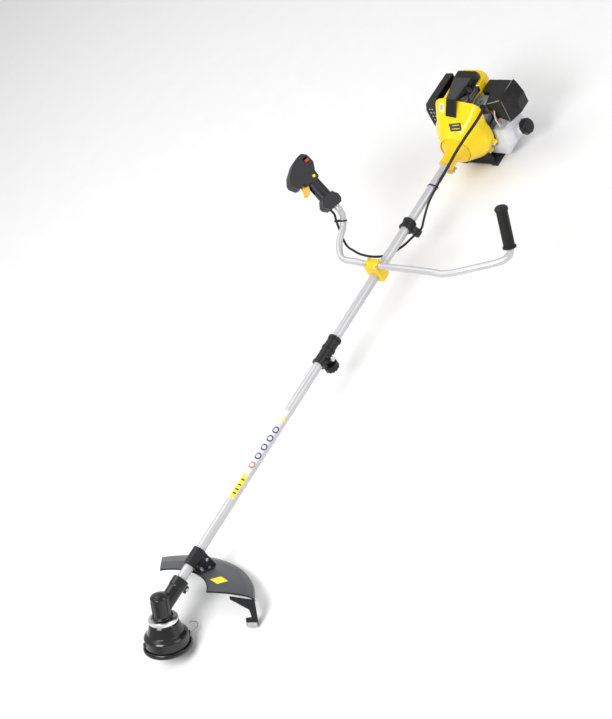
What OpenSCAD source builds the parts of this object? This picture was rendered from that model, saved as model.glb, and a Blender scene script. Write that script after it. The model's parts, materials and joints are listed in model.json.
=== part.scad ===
// String trimmer with a split shaft, an uneven two-arm handlebar and a two-stroke engine.
// It lies on its engine stand and its trimmer head, with the shaft level.
// "at" is a distance along the shaft, from the centre of the bevel gears towards the engine.
// X runs along the shaft towards the engine, Y to the operator's right, Z up.

/* [Shaft] */
// Outer diameter of the shaft tubes
tube_d = 26; // [24:0.5:28]
// Wall of the shaft tubes
tube_wall = 1.5; // [1:0.1:2.5]
// Place of the joint between the two tubes
joint_at = 825; // [700:5:900]
// Place of the engine's nose
engine_at = 1514; // [1400:2:1700]
// Diameter of the drive shafts
drive_d = 8; // [7:0.5:9]
// Length of tube held inside each fitting
tube_seat = 43; // [38:1:50]

/* [Coupler] */
// Length of the coupler sleeve
sleeve_len = 92; // [80:1:120]
// Wall of the coupler sleeve
sleeve_wall = 4.5; // [3:0.5:7]
// Diameter of the clamp knob
coupler_knob_d = 42; // [34:1:50]
// How far the lower tube pulls out
pull_out = 70; // [50:5:120]

/* [Handlebar] */
// Place of the handlebar clamp
handle_at = 1109; // [1000:1:1180]
// Height of the handlebar's axis above the shaft's axis
bar_rise = 30; // [27:1:36]
// Outer diameter of the handlebar tube
bar_d = 19; // [17:0.5:22]
// Wall of the handlebar tube
bar_wall = 1.5; // [1:0.1:2.5]
// Length of the clamp along the shaft
clamp_len = 34; // [30:1:44]
// Width of the clamp across the shaft
clamp_w = 46; // [42:1:56]
// Length of the plain grip
grip_len = 116; // [100:1:130]
// Diameter of the plain grip
grip_d = 31; // [28:1:36]

/* [Harness] */
// Place of the harness hanger
hanger_at = 1283; // [1240:1:1330]
// Width of the harness hanger
hanger_w = 30; // [24:1:40]
// Diameter of the hanger's eye
eye_d = 9; // [7:0.5:12]

/* [Trimmer head] */
// Lean of the head's axis from upright
head_tilt = 31.4; // [28:0.2:34]
// Radius of the head's widest rim
rim_r = 63; // [56:1:68]
// Distance of the head's lower rim below the bevel gears
rim_low = 108; // [104:1:114]
// Radius of the silver flange
flange_r = 38; // [34:1:42]
// Distance of the flange's top face below the bevel gears
flange_low = 19; // [18:0.5:22]
// Thickness of the trimmer line
line_d = 2.4; // [1.6:0.2:3]
// Travel of the bump knob
bump_travel = 4; // [2:0.5:6]

/* [Guard] */
// Near end of the guard's clamp on the shaft
guard_at = 129; // [124:1:140]
// Thickness of the guard shell
guard_wall = 3; // [2.5:0.5:5]
// Outer radius of the guard about the head's axis
guard_r = 236; // [222:1:240]

/* [Engine] */
// Radius of the fan housing
fan_case_r = 88; // [84:1:96]
// Radius of the flywheel fan
fan_r = 60; // [52:1:62]
// Piston stroke
stroke = 32; // [26:1:34]
// Cylinder bore
bore_d = 44; // [36:1:45]
// Height of the cylinder cover above the crank axis
cover_top = 150; // [146:1:160]
// Diameter of the fuel cap
cap_d = 46; // [38:1:52]
// Diameter of the throttle conduit
conduit_d = 7; // [5:0.5:8]
// Length of starter rope that pulls out
rope_pull = 500; // [300:10:800]

/* [Hidden] */
$fn = 48;

tube_r = tube_d / 2;
tube_in = tube_d / 2 - tube_wall;
drive_r = drive_d / 2;
bar_r = bar_d / 2;
conduit_r = conduit_d / 2;
fit = 0.05;                 // radial clearance of a running or sliding fit
gap = 0.4;                  // clearance between pieces that move past each other
bar_at = [handle_at, 0, bar_rise];

// The head's lowest rim rests on the floor, and the stand reaches the same floor.
shaft_h = rim_low * cos(head_tilt) + rim_r * sin(head_tilt);

// Reach of the whole machine, which places the origin under its middle
engine_len = 280;
reach_front = rim_low * sin(head_tilt) + rim_r * cos(head_tilt);
reach_back = engine_at + engine_len;
mid_x = (reach_back - reach_front) / 2;
reach_left = 440;
reach_right = 267;
mid_y = (reach_right - reach_left) / 2;

// ---- Places ----

module on_shaft(at) { translate([at - mid_x, -mid_y, shaft_h]) children(); }
module on_head() { on_shaft(0) rotate([0, head_tilt, 0]) children(); }
module on_engine(at = 0) { on_shaft(engine_at + at) children(); }

// A round bar or pipe along +X
module rod_x(r, l) { rotate([0, 90, 0]) cylinder(r = r, h = l); }
module pipe_x(ro, ri, l) {
    rotate([0, 90, 0]) difference() {
        cylinder(r = ro, h = l);
        translate([0, 0, -1]) cylinder(r = ri, h = l + 2);
    }
}
module rod_y(r, l) { rotate([-90, 0, 0]) cylinder(r = r, h = l); }

// A ring about Z
module ring(ro, ri, h) {
    difference() {
        cylinder(r = ro, h = h);
        translate([0, 0, -1]) cylinder(r = ri, h = h + 2);
    }
}

// A block centred on X and Y, rounded on its upright edges
module rounded_block(size, r) {
    linear_extrude(size[2]) rounded_square([size[0], size[1]], r);
}
module rounded_square(size, r) {
    square([size[0] - 2 * r, size[1]], center = true);
    square([size[0], size[1] - 2 * r], center = true);
    for (x = [-1, 1], y = [-1, 1])
        translate([x * (size[0] / 2 - r), y * (size[1] / 2 - r)]) circle(r = r);
}

// A socket-head screw along -Z, with the seat of its head at the origin
module screw(d, l) {
    translate([0, 0, -l]) cylinder(d = d, h = l + 0.1);
    difference() {
        cylinder(d = d * 1.7, h = d);
        translate([0, 0, d * 0.5]) cylinder(d = d * 0.8, h = d, $fn = 6);
    }
}

// ---- Swept tubes ----

function unit(v) = v / norm(v);
function curve_point(a, b, c, d, t) =
    0.5 * (2 * b + (c - a) * t + (2 * a - 5 * b + 4 * c - d) * t * t + (3 * b - a - 3 * c + d) * t * t * t);
function curve(p, steps) = [
    for (i = [0 : len(p) - 2], k = [0 : steps - 1])
        curve_point(p[max(i - 1, 0)], p[i], p[i + 1], p[min(i + 2, len(p) - 1)], k / steps),
    p[len(p) - 1]];
function tangents(p) = [for (i = [0 : len(p) - 1]) unit(p[min(i + 1, len(p) - 1)] - p[max(i - 1, 0)])];
function square_to(v, t) = unit(v - (v * t) * t);
function normals(t, first) = [
    for (i = 0, n = square_to(first, t[0]); i < len(t);
         i = i + 1, n = i < len(t) ? square_to(n, t[i]) : n) n];
function rings(p, r, sides) = let (t = tangents(p), n = normals(t, [0.1, 0.2, 1])) [
    for (i = [0 : len(p) - 1], k = [0 : sides - 1])
        p[i] + r * (cos(360 * k / sides) * n[i] + sin(360 * k / sides) * cross(t[i], n[i]))];

// A solid rod along a smooth curve through the points
module swept_rod(points, r, sides, steps) {
    p = curve(points, steps);
    last = len(p) - 1;
    polyhedron(rings(p, r, sides), [
        [for (k = [0 : sides - 1]) k],
        for (i = [0 : last - 1], k = [0 : sides - 1])
            [i * sides + k, (i + 1) * sides + k, (i + 1) * sides + (k + 1) % sides, i * sides + (k + 1) % sides],
        [for (k = [sides - 1 : -1 : 0]) last * sides + k]]);
}

// A pipe along the same curve, open at both ends
module swept_pipe(points, ro, ri, sides, steps) {
    p = curve(points, steps);
    last = len(p) - 1;
    inner = len(p) * sides;
    polyhedron(concat(rings(p, ro, sides), rings(p, ri, sides)), [
        for (i = [0 : last - 1], k = [0 : sides - 1]) let (a = i * sides, n = (k + 1) % sides)
            [a + k, a + sides + k, a + sides + n, a + n],
        for (i = [0 : last - 1], k = [0 : sides - 1]) let (a = inner + i * sides, n = (k + 1) % sides)
            [a + k, a + n, a + sides + n, a + sides + k],
        for (k = [0 : sides - 1]) let (n = (k + 1) % sides)
            [k, n, inner + n, inner + k],
        for (k = [0 : sides - 1]) let (a = last * sides, n = (k + 1) % sides)
            [a + n, a + k, inner + a + k, inner + a + n]]);
}

// ---- Routes ----

// The straight end of each arm: where its grip starts, and which way it points
throttle_foot = [109, 148, 100];
throttle_dir = unit([25, 65, 83]);
left_foot = [89, -421.5, 43];
left_dir = unit([42, 9, 89]);
// The handlebar's centre line, from the middle of its clamp
right_arm = [[0, 0, 0], [0, clamp_w / 2 + 4, 0], [0, clamp_w / 2 + 12, 0], [0, 60, 4], [-2, 104, 14], [35, 131, 29], [82, 136, 48],
             [102, 138, 72], throttle_foot - 12 * throttle_dir, throttle_foot,
             throttle_foot + 40 * throttle_dir, throttle_foot + 80 * throttle_dir];
left_arm = [[0, 0, 0], [0, -clamp_w / 2 - 4, 0], [0, -clamp_w / 2 - 12, 0], [0, -85, 4], [0, -195, 9], [5, -250, 5], [34, -332, 11],
            [62, -394, 14], [78, -417, 24], left_foot - 8 * left_dir, left_foot, left_foot + 40 * left_dir,
            left_foot + 90 * left_dir];

// Axes of the throttle grip; X is the part of the shaft's -X that is square to the grip
grip_z = throttle_dir;
grip_x = square_to([-1, 0, 0], grip_z);
grip_y = cross(grip_z, grip_x);

function on_grip(p) = bar_at + throttle_foot + p[0] * grip_x + p[1] * grip_y + p[2] * grip_z;

// The throttle conduit, from the carburettor to the throttle grip, on the shaft's axis
conduit_route = [
    [engine_at + 163, -80, 83], [engine_at + 150, -88, 87], [engine_at + 100, -92, 88], [engine_at + 56, -80, 78],
    [engine_at + 20, -56, 54], [engine_at - 10, -38, 32], [engine_at - 45, -24, 14], [engine_at - 83, -18, 4],
    [1376, -19, -2], [1321, -30, -10], [1288, -38, -14], [1254, -26, -14], [1224, -9, -19],
    [1184, 14, -14], [1158, 42, 2], [1146, 72, 20], [1146, 95, 34], [1152, 116, 41], [1168, 137, 50],
    [1184, 150, 68], [1190, 151, 90], [1191, 147, 108], on_grip([22, 0, -12]), on_grip([22, 0, 8])];

// ---- Lower shaft ----

lower_tube_from = 47;
lower_tube_to = joint_at - 2;

module lower_tube() {
    color("gainsboro") difference() {
        on_shaft(lower_tube_from) pipe_x(tube_r, tube_in, lower_tube_to - lower_tube_from);
        // The latch pin's slot runs out of the tube's end, so the tube can be pulled off it.
        on_shaft(latch_at) translate([0, -tube_r, 0])
            cube([60, 2 * tube_r, latch_slot], center = true);
    }
}

module bush(at, len = 22) {
    on_shaft(at) difference() {
        rod_x(tube_in, len);
        translate([-1, 0, 0]) rod_x(drive_r + fit, len + 2);
    }
}

module lower_bushes() {
    color("dimgray") for (at = [180, 390, 600]) bush(at);
    // Ball bearing of the pinion, in the gearbox collar
    color("silver") on_shaft(30) pipe_x(14, pinion_journal + fit, 9);
    // Ball bearings of the output shaft
    color("silver") on_head() for (h = [-15, 0])
        translate([0, 0, h]) ring(bearing_r, output_r + fit, 8);
}

// ---- Gearbox ----

pinion_teeth = 15;
gear_teeth = 19;
cone_len = 27;              // distance from the crossing of the axes to the teeth's outer end
gear_face = 8;              // length of the teeth along the cone
shaft_angle = 90 - head_tilt;
pinion_cone = atan(sin(shaft_angle) / (gear_teeth / pinion_teeth + cos(shaft_angle)));
gear_cone = shaft_angle - pinion_cone;
addendum = 0.9;
dedendum = 1.6;
pinion_journal = 5;
output_r = 5;
bearing_r = 11;
gearbox_r = 24;
gearbox_top = 42;

// A bevel gear about +Z whose cone has its point at the origin
module bevel_gear_body(teeth, cone, turn) {
    z_out = cone_len * cos(cone);
    pitch_r = cone_len * sin(cone);
    step = 360 / teeth;
    shrink = (cone_len - gear_face) / cone_len;
    translate([0, 0, z_out]) mirror([0, 0, 1]) rotate(turn) linear_extrude(gear_face * cos(cone), scale = shrink)
        union() {
            circle(r = pitch_r - dedendum, $fn = 60);
            for (k = [0 : teeth - 1]) rotate(k * step) polygon([
                [pitch_r - dedendum - 0.5, -0.25 * step * pitch_r * PI / 180],
                [pitch_r + addendum, -0.1 * step * pitch_r * PI / 180],
                [pitch_r + addendum, 0.1 * step * pitch_r * PI / 180],
                [pitch_r - dedendum - 0.5, 0.25 * step * pitch_r * PI / 180]]);
        }
}

module bevel_pinion() {
    color("silver") on_shaft(0) difference() {
        union() {
            // An odd number of teeth puts a gap opposite tooth 0, where the gear's tooth 0 comes.
            rotate([0, 90, 0]) bevel_gear_body(pinion_teeth, pinion_cone, 0);
            translate([cone_len * cos(pinion_cone) - 0.2, 0, 0]) rod_x(pinion_journal, 21);
        }
        translate([-1, 0, 0]) rod_x(drive_flat / 2 * sqrt(2), 60);
    }
}

module gearbox_housing() {
    color("#1c1c1e") difference() {
        union() {
            on_head() {
                translate([0, 0, 1 - flange_low]) cylinder(r = gearbox_r, h = gearbox_top - 5 + flange_low);
                translate([0, 0, gearbox_top - 4]) cylinder(r1 = gearbox_r, r2 = gearbox_r - 4, h = 4);
                translate([0, 0, 1 - flange_low]) cylinder(r = gearbox_r + 3, h = 5);
            }
            on_shaft(8) rod_x(20, 82);
            on_shaft(66) rod_x(21.5, 24);
            // Lugs of the collar's clamp
            on_shaft(68) translate([0, -9, -32]) cube([20, 18, 16]);
        }
        // The tube's seat, the pinion's bearing seat and the drive's way through
        on_shaft(lower_tube_from) rod_x(tube_r + 0.02, 60);
        on_shaft(29) rod_x(14.02, 10.5);
        on_shaft(38) rod_x(9, 12);
        on_shaft(0) rod_x(15.5, 30);
        on_head() {
            translate([0, 0, -7.2]) cylinder(r = 9, h = 10);
            translate([0, 0, -15.2]) cylinder(r = bearing_r + 0.02, h = 8.4);
            translate([0, 0, 0]) cylinder(r = bearing_r + 0.02, h = 8.2);
            translate([0, 0, 8]) cylinder(r = 18.5, h = 27);
            translate([0, 0, -30]) cylinder(r = output_r + 2, h = 20);
        }
        // The slit of the clamp, and its screw's hole
        on_shaft(64) translate([0, -1.25, -40]) cube([40, 2.5, 40]);
        on_shaft(78) translate([0, -20, -25]) rod_y(2.6, 40);
        // Hole of the grease screw
        on_head() translate([0, 0, 20]) rotate([90, 0, 180]) translate([0, 0, 12]) cylinder(r = 3, h = 20);
    }
}

// ---- Output and head ----

module output_gear() {
    color("silver") on_head() {
        difference() {
            bevel_gear_body(gear_teeth, gear_cone, 0);
            translate([0, 0, -1]) cylinder(r = output_r - 0.5, h = 60);
        }
        // Shaft with its thrust collar between gear and upper bearing
        translate([0, 0, -flange_low - 30]) cylinder(r = output_r, h = flange_low + 62);
        translate([0, 0, 8.4]) cylinder(r = 7.5, h = cone_len * cos(gear_cone) - gear_face - 6);
    }
}

module blade_flange() {
    color("silver") on_head() translate([0, 0, -flange_low - 10]) difference() {
        union() {
            cylinder(r = flange_r, h = 7);
            translate([0, 0, 7]) cylinder(r1 = flange_r, r2 = flange_r - 2.5, h = 2.4);
        }
        translate([0, 0, -1]) cylinder(r = output_r, h = 20);
        // Dished top, clear of the gearbox foot
        translate([0, 0, 4]) cylinder(r = gearbox_r + 6, h = 10);
        // Hole for the locking pin
        translate([0, flange_r - 8, -1]) cylinder(r = 3, h = 12);
    }
}

head_top = flange_low + 10.3;

module head_housing() {
    color("#202022") on_head() difference() {
        union() {
            // Cap, shoulder and drum, turned about the head's axis
            rotate_extrude() polygon([
                [0, -head_top], [34, -head_top], [38, -head_top - 6], [46, -rim_low + 48], [54, -rim_low + 42],
                [57, -rim_low + 38], [57, -rim_low + 13], [0, -rim_low + 13]]);
            // Eyelets for the line
            for (a = [eyelet_turn, eyelet_turn + 180]) rotate(a) translate([50, 0, -rim_low + 24])
                rotate([0, 90, 0]) cylinder(r = 6, h = 11);
        }
        translate([0, 0, -rim_low]) cylinder(r = 53.5, h = 33 + bump_travel);
        translate([0, 0, -rim_low]) cylinder(r = 26, h = 60);
        translate([0, 0, -head_top - 30]) cylinder(r = output_r, h = 40);
        for (a = [eyelet_turn, eyelet_turn + 180]) rotate(a) translate([40, 0, -rim_low + 24])
            rotate([0, 90, 0]) cylinder(r = line_d / 2 + 0.25, h = 30);
    }
}

eyelet_turn = -28;

module head_cover() {
    color("#1a1a1c") on_head() difference() {
        rotate_extrude() polygon([
            [58, -rim_low + 12.6], [59, -rim_low + 14], [61, -rim_low + 13], [rim_r, -rim_low + 9],
            [rim_r, -rim_low + 5], [rim_r - 2, -rim_low + 1], [rim_r - 5, -rim_low],
            [34, -rim_low], [32, -rim_low + 2], [32, -rim_low + 12.6]]);
        translate([0, 0, -rim_low + 3]) ring(56, 35, 20);
    }
}

module line_spool() {
    color("#303033") on_head() translate([0, 0, -rim_low + 15]) difference() {
        union() {
            cylinder(r = 30, h = 17);
            cylinder(r = 50, h = 2.5);
            translate([0, 0, 14.5]) cylinder(r = 50, h = 2.5);
            // The wound line
            translate([0, 0, 2.5]) cylinder(r = 44, h = 12);
        }
        translate([0, 0, 4]) cylinder(r = 24, h = 20);
        translate([0, 0, -1]) cylinder(r = 16, h = 20);
    }
}

module bump_knob() {
    color("#141416") on_head() difference() {
        union() {
            translate([0, 0, -rim_low - 1.5]) cylinder(r1 = 22, r2 = 26, h = 4);
            translate([0, 0, -rim_low + 2.5]) cylinder(r = 26, h = 12.5);
            translate([0, 0, -rim_low + 14]) cylinder(r = 15.8, h = 8);
        }
        translate([0, 0, -rim_low + 10]) cylinder(r = 11, h = 20);
    }
}

line_route = [[57, 0, 0], [66, 0, 0], [78, 4, 2], [86, 14, 4], [87, 27, 5], [80, 36, 5], [70, 38, 4]];

module trimmer_line() {
    color("whitesmoke") on_head() rotate(eyelet_turn) translate([0, 0, -rim_low + 24])
        swept_rod(line_route, line_d / 2, 8, 6);
}

// ---- Guard ----

guard_len = 51;
guard_from = -54;           // the guard's arc about the head's axis, in degrees from the engine's side
guard_to = 46;
guard_inner_r = 120;
guard_high = 46;            // height of the guard's inner edge above the bevel gears
guard_drop = 34;            // how far the guard's lip lies below its inner edge
guard_wide = guard_r - guard_inner_r;

// The shell's upper surface, from its inner edge out and down
guard_top = [[guard_inner_r, guard_high], [guard_inner_r + 0.43 * guard_wide, guard_high - 6],
             [guard_inner_r + 0.82 * guard_wide, guard_high - 17], [guard_r - 4, guard_high - guard_drop + 9],
             [guard_r, guard_high - guard_drop]];

// The shell's section, turned about the head's axis
module guard_section() {
    polygon(concat(guard_top, [for (k = [len(guard_top) - 1 : -1 : 0])
        guard_top[k] - [k < 3 ? 0 : guard_wall, k == len(guard_top) - 1 ? 0 : guard_wall]]));
}

module guard_shell() {
    color("#3f4148") on_head() rotate(guard_from) rotate_extrude(angle = guard_to - guard_from)
        guard_section();
}

skirt_low = -56;
skirt_turn = guard_from - 1.2;

module guard_skirt() {
    color("#232427") on_head() rotate(skirt_turn) rotate_extrude(angle = 1.1) polygon([
        [guard_r - 60, guard_high - 16], [guard_r + 1, guard_high - guard_drop + 4],
        [guard_r + 2, skirt_low + 24], [guard_r + 2, skirt_low], [guard_r - 28, skirt_low],
        [guard_r - 28, skirt_low + 22], [guard_r - 12, skirt_low + 24],
        [guard_r - 16, guard_high - guard_drop - 22], [guard_r - 60, guard_high - 24]]);
}

module line_cutter() {
    color("silver") on_head() rotate(skirt_turn - 0.46) translate([guard_r - 26, 0, skirt_low - 3])
        cube([26, 1.5, 14]);
}

module guard_bracket() {
    color("#17181a") difference() {
        union() {
            on_shaft(guard_at) rod_x(tube_r + 5, guard_len);
            // Block under the tube, down to the guard, and the plate that holds it
            on_shaft(guard_at) translate([0, -15, -64]) cube([guard_len, 30, 60]);
            on_head() translate([guard_inner_r + 1, -26, guard_high]) rotate([0, plate_lean, 0])
                cube([46, 52, 5]);
        }
        on_shaft(guard_at - 1) rod_x(tube_r + 0.02, guard_len + 2);
        on_shaft(guard_at - 1) translate([0, -1.25, -30]) cube([guard_len + 2, 2.5, 20]);
        for (at = bracket_screws) on_shaft(guard_at + at) translate([0, -30, -20]) rod_y(2.6, 60);
        // It sits on the guard's upper surface.
        on_head() rotate_extrude() polygon(concat(guard_top, [[guard_r, -60], [0, -60], [0, guard_high]]));
    }
}

plate_lean = atan(6 / (0.43 * guard_wide));
bracket_screws = [12, 39];

module guard_screws() {
    color("silver") {
        for (at = bracket_screws) on_shaft(guard_at + at) translate([0, -15.1, -20])
            rotate([90, 0, 0]) screw(5, 24);
        on_shaft(78) translate([0, -9.1, -25]) rotate([90, 0, 0]) screw(5, 15);
        // Grease screw of the gearbox
        on_head() translate([0, 0, 20]) rotate([90, 0, 180]) translate([0, 0, gearbox_r + 0.1])
            cylinder(r = 5, h = 3, $fn = 6);
        // Screws of the plate on the guard
        on_head() translate([guard_inner_r + 1, 0, guard_high]) rotate([0, plate_lean, 0])
            for (x = [12, 36], y = [-20, 20]) translate([x, y, 5.1]) cylinder(r = 4, h = 3);
        // Rivets that hold the line cutter
        on_head() rotate(skirt_turn - 0.46) for (k = [4, 18])
            translate([guard_r - 24 + k, -1.6, skirt_low + 6]) rod_y(2, 1.5);
    }
}

// ---- Drive shafts ----

drive_flat = drive_d * 0.7;    // width of the squared ends
shaft_socket_len = 30;

module lower_drive_shaft() {
    color("darkgray") {
        on_shaft(62) rod_x(drive_r, joint_at - 30 - 62);
        // Squared ends: into the pinion, and into the upper shaft's socket
        on_shaft(cone_len * cos(pinion_cone) - 4) translate([0, -drive_flat / 2, -drive_flat / 2])
            cube([62.1 - cone_len * cos(pinion_cone) + 4, drive_flat, drive_flat]);
        on_shaft(joint_at - 30.1) translate([0, -drive_flat / 2, -drive_flat / 2])
            cube([shaft_socket_len + 4, drive_flat, drive_flat]);
    }
}

module upper_drive_shaft() {
    color("darkgray") difference() {
        union() {
            on_shaft(joint_at - 14) rod_x(drive_r + 3, shaft_socket_len + 4);
            on_shaft(joint_at + 19.9) rod_x(drive_r, engine_at + 42 - joint_at - 19.9);
            on_engine(41.9) translate([0, -drive_flat / 2, -drive_flat / 2])
                cube([16, drive_flat, drive_flat]);
        }
        on_shaft(joint_at - 15) translate([0, -drive_flat / 2 - fit, -drive_flat / 2 - fit])
            cube([26, drive_flat + 2 * fit, drive_flat + 2 * fit]);
    }
}

// ---- Upper shaft and coupler ----

module upper_tube() {
    color("gainsboro") on_shaft(joint_at) pipe_x(tube_r, tube_in, engine_at + tube_seat - joint_at);
}

module upper_bushes() {
    color("dimgray") for (at = [joint_at + 60, joint_at + 260, joint_at + 460, engine_at - 30]) bush(at);
}

sleeve_r = tube_r + sleeve_wall;
latch_at = joint_at - 18;
latch_d = 6;
latch_slot = latch_d + 1;
knob_at = joint_at - 15;
knob_stud = 4;

module coupler_sleeve() {
    color("#1b1b1d") on_shaft(joint_at - sleeve_len / 2) difference() {
        union() {
            rod_x(sleeve_r, sleeve_len);
            for (x = [0, sleeve_len - 8, sleeve_len / 2 + 4]) translate([x, 0, 0]) rod_x(sleeve_r + 2, 8);
            // Boss of the clamp knob, below, and of the latch pin, at the side
            translate([knob_at - joint_at + sleeve_len / 2, 0, -sleeve_r - 12]) cylinder(r = 9, h = 16);
            translate([latch_at - joint_at + sleeve_len / 2, -sleeve_r - 8, 0]) rod_y(8, 12);
        }
        translate([-1, 0, 0]) rod_x(tube_r + fit, sleeve_len + 2);
        translate([knob_at - joint_at + sleeve_len / 2, 0, -sleeve_r - 13])
            cylinder(r = knob_stud + fit, h = 20);
        translate([latch_at - joint_at + sleeve_len / 2, -sleeve_r - 9, 0]) rod_y(latch_d / 2 + fit, 20);
    }
}

module coupler_knob() {
    color("#151517") on_shaft(knob_at) {
        translate([0, 0, -sleeve_r - 12 - gap - 22]) difference() {
            cylinder(d = coupler_knob_d, h = 20);
            for (a = [0 : 30 : 330]) rotate(a) translate([coupler_knob_d / 2 + 1, 0, -1])
                cylinder(r = 3, h = 30);
        }
        translate([0, 0, -sleeve_r - 12 - gap - 3]) cylinder(r = 8.5, h = 3);
        translate([0, 0, -sleeve_r - 13]) cylinder(r = knob_stud, h = 13);
    }
}

module latch_pin() {
    color("silver") on_shaft(latch_at) {
        translate([0, -sleeve_r - 14, 0]) rod_y(latch_d / 2, sleeve_wall + 14 + 1);
        translate([0, -sleeve_r - 18, 0]) rod_y(7, 5);
    }
}

// ---- Handlebar ----

clamp_low = tube_r + 5;
clamp_split = bar_rise;

module clamp_holes(r, deep) {
    for (x = [-1, 1], y = [-1, 1])
        translate([x * (clamp_len / 2 - 4.5), y * (clamp_w / 2 - 4.5), -deep]) cylinder(r = r, h = 2 * deep);
}

module handle_clamp_base() {
    color("gold") on_shaft(handle_at) difference() {
        union() {
            translate([0, 0, -clamp_low]) rounded_block([clamp_len, clamp_w, clamp_low + clamp_split - 0.5], 4);
        }
        translate([-clamp_len, 0, 0]) rod_x(tube_r + 0.02, 2 * clamp_len);
        translate([0, -clamp_w, clamp_split]) rod_y(bar_r + 0.02, 2 * clamp_w);
        clamp_holes(2.1, 60);
    }
}

module handle_clamp_cap() {
    color("gold") on_shaft(handle_at) translate([0, 0, clamp_split + 0.5]) difference() {
        union() {
            rounded_block([clamp_len, clamp_w, 8], 4);
            translate([0, -clamp_w / 2, -0.5]) rod_y(bar_r + 2.9, clamp_w);
        }
        translate([0, -clamp_w, -0.5]) rod_y(bar_r + 0.02, 2 * clamp_w);
        translate([-50, -50, -40]) cube([100, 100, 40]);
        clamp_holes(2.1, 60);
    }
}

module handlebar() {
    color("gainsboro") on_shaft(0) translate(bar_at)
        swept_pipe(concat([for (k = [len(left_arm) - 1 : -1 : 1]) left_arm[k]], right_arm),
                   bar_r, bar_r - bar_wall, 16, 3);
}

// Turns +Z to a direction
module pointing(v) {
    rotate([0, acos(v[2] / norm(v)), atan2(v[1], v[0])]) children();
}

module left_grip() {
    color("#161618") on_shaft(0) translate(bar_at + left_foot) pointing(left_dir) difference() {
        union() {
            cylinder(d = grip_d, h = grip_len - 4);
            cylinder(d = grip_d + 6, h = 5);
            translate([0, 0, grip_len - 14]) cylinder(d = grip_d + 5, h = 8);
            translate([0, 0, grip_len - 6]) cylinder(d1 = grip_d + 5, d2 = grip_d - 4, h = 6);
        }
        translate([0, 0, -1]) cylinder(r = bar_r + 0.3, h = grip_len - 8);
    }
}

// ---- Throttle grip: Z along the bar's end, X to the trigger's side, Y to the outer half ----

module on_throttle() {
    on_shaft(0) translate(bar_at + throttle_foot) multmatrix([
        [grip_x[0], grip_y[0], grip_z[0], 0],
        [grip_x[1], grip_y[1], grip_z[1], 0],
        [grip_x[2], grip_y[2], grip_z[2], 0],
        [0, 0, 0, 1]]) children();
}

// The grip's outline, seen from its outer side: clamp end, handle, and the slanting hand guard
module grip_outline() {
    polygon([[-14, 2], [-22, 12], [-23, 26], [-15, 38], [-14, 94], [-17, 116], [-32, 138], [-31, 164],
             [-20, 176], [-8, 177], [20, 170], [54, 150], [68, 134], [70, 124], [60, 106], [52, 102],
             [38, 106], [34, 92], [26, 76], [26, 40], [38, 26], [38, 18], [26, 4]]);
}

// The hollow inside, for the bar and the trigger's works
module grip_hollow() {
    translate([0, 0, -1]) cylinder(r = bar_r + 0.3, h = 84);
    translate([-10, -8, 82]) cube([40, 16, 36]);
    // Slot of the trigger
    translate([14, -5.5, 66]) cube([34, 11, 54]);
    // Slot of the lock-out lever
    translate([-26, -4.5, 92]) cube([24, 9, 30]);
    // Seats of the switch and the button
    translate([-25.5, -3, 147]) cube([15, 40, 10 + switch_travel]);
    translate([-1, 0, 106]) rotate([-90, 0, 0]) cylinder(r = 4.5, h = 40);
    // Way of the conduit
    translate([22, 0, 0]) cylinder(r = conduit_r + 0.1, h = 16);
}

grip_half = 18;
switch_travel = 5;

module throttle_grip_half(side) {
    difference() {
        intersection() {
            translate([0, side * grip_half / 2, 0]) rotate([90, 0, 0]) translate([0, 0, -grip_half / 2 + 0.1])
                linear_extrude(grip_half - 0.2) grip_outline();
            union() {
                // Round handle, flatter hand guard
                translate([6, 0, -2]) cylinder(r = 36, h = 44);
                translate([6, 0, 40]) scale_oval(21, 17.9, 60);
                translate([-60, -grip_half, 96]) cube([160, 2 * grip_half, 90]);
            }
        }
        grip_hollow();
    }
}

module scale_oval(a, b, h) {
    linear_extrude(h) polygon([for (t = [0 : 10 : 350]) [a * cos(t), b * sin(t)]]);
}

// The pins of the trigger and the lock-out lever, held in the inner half
module grip_pins(r) {
    for (p = [trigger_pin, lockout_pin]) translate([p[0], -10, p[1]]) rod_y(r, 20);
}

module throttle_grip_inner() {
    color("#1d1e21") on_throttle() {
        throttle_grip_half(-1);
        grip_pins(pin_r);
    }
}

module throttle_grip_outer() {
    color("#1d1e21") on_throttle() difference() {
        throttle_grip_half(1);
        grip_pins(pin_r + 0.02);
    }
}

pin_r = 1.45;
trigger_pin = [17, 110];
lockout_pin = [-12.5, 99];

module throttle_trigger() {
    color("gold") on_throttle() translate([0, 4.5, 0]) rotate([90, 0, 0]) linear_extrude(9) difference() {
        polygon([[10, 112], [12, 106], [22, 98], [30, 84], [40, 74], [52, 72], [56, 78], [50, 88], [46, 100],
                 [36, 110], [20, 116], [12, 116]]);
        translate(trigger_pin) circle(r = pin_r + fit);
    }
}

module lockout_lever() {
    color("gold") on_throttle() translate([0, 3.8, 0]) rotate([90, 0, 0]) linear_extrude(7.6) difference() {
        polygon([[-12, 94], [-9, 97], [-9, 112], [-15, 118], [-22, 116], [-23, 108], [-17, 98]]);
        translate(lockout_pin) circle(r = pin_r + fit);
    }
}

module stop_switch() {
    color("firebrick") on_throttle() translate([-25, 5, 147.5]) cube([14, 15, 9]);
}

module hold_button() {
    color("gold") on_throttle() translate([-1, 6, 106]) rod_y(4.42, 16);
}

// ---- Harness hanger ----

eye_arm = [-21, -27];       // from the shaft's axis to the eye, across the shaft

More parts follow.
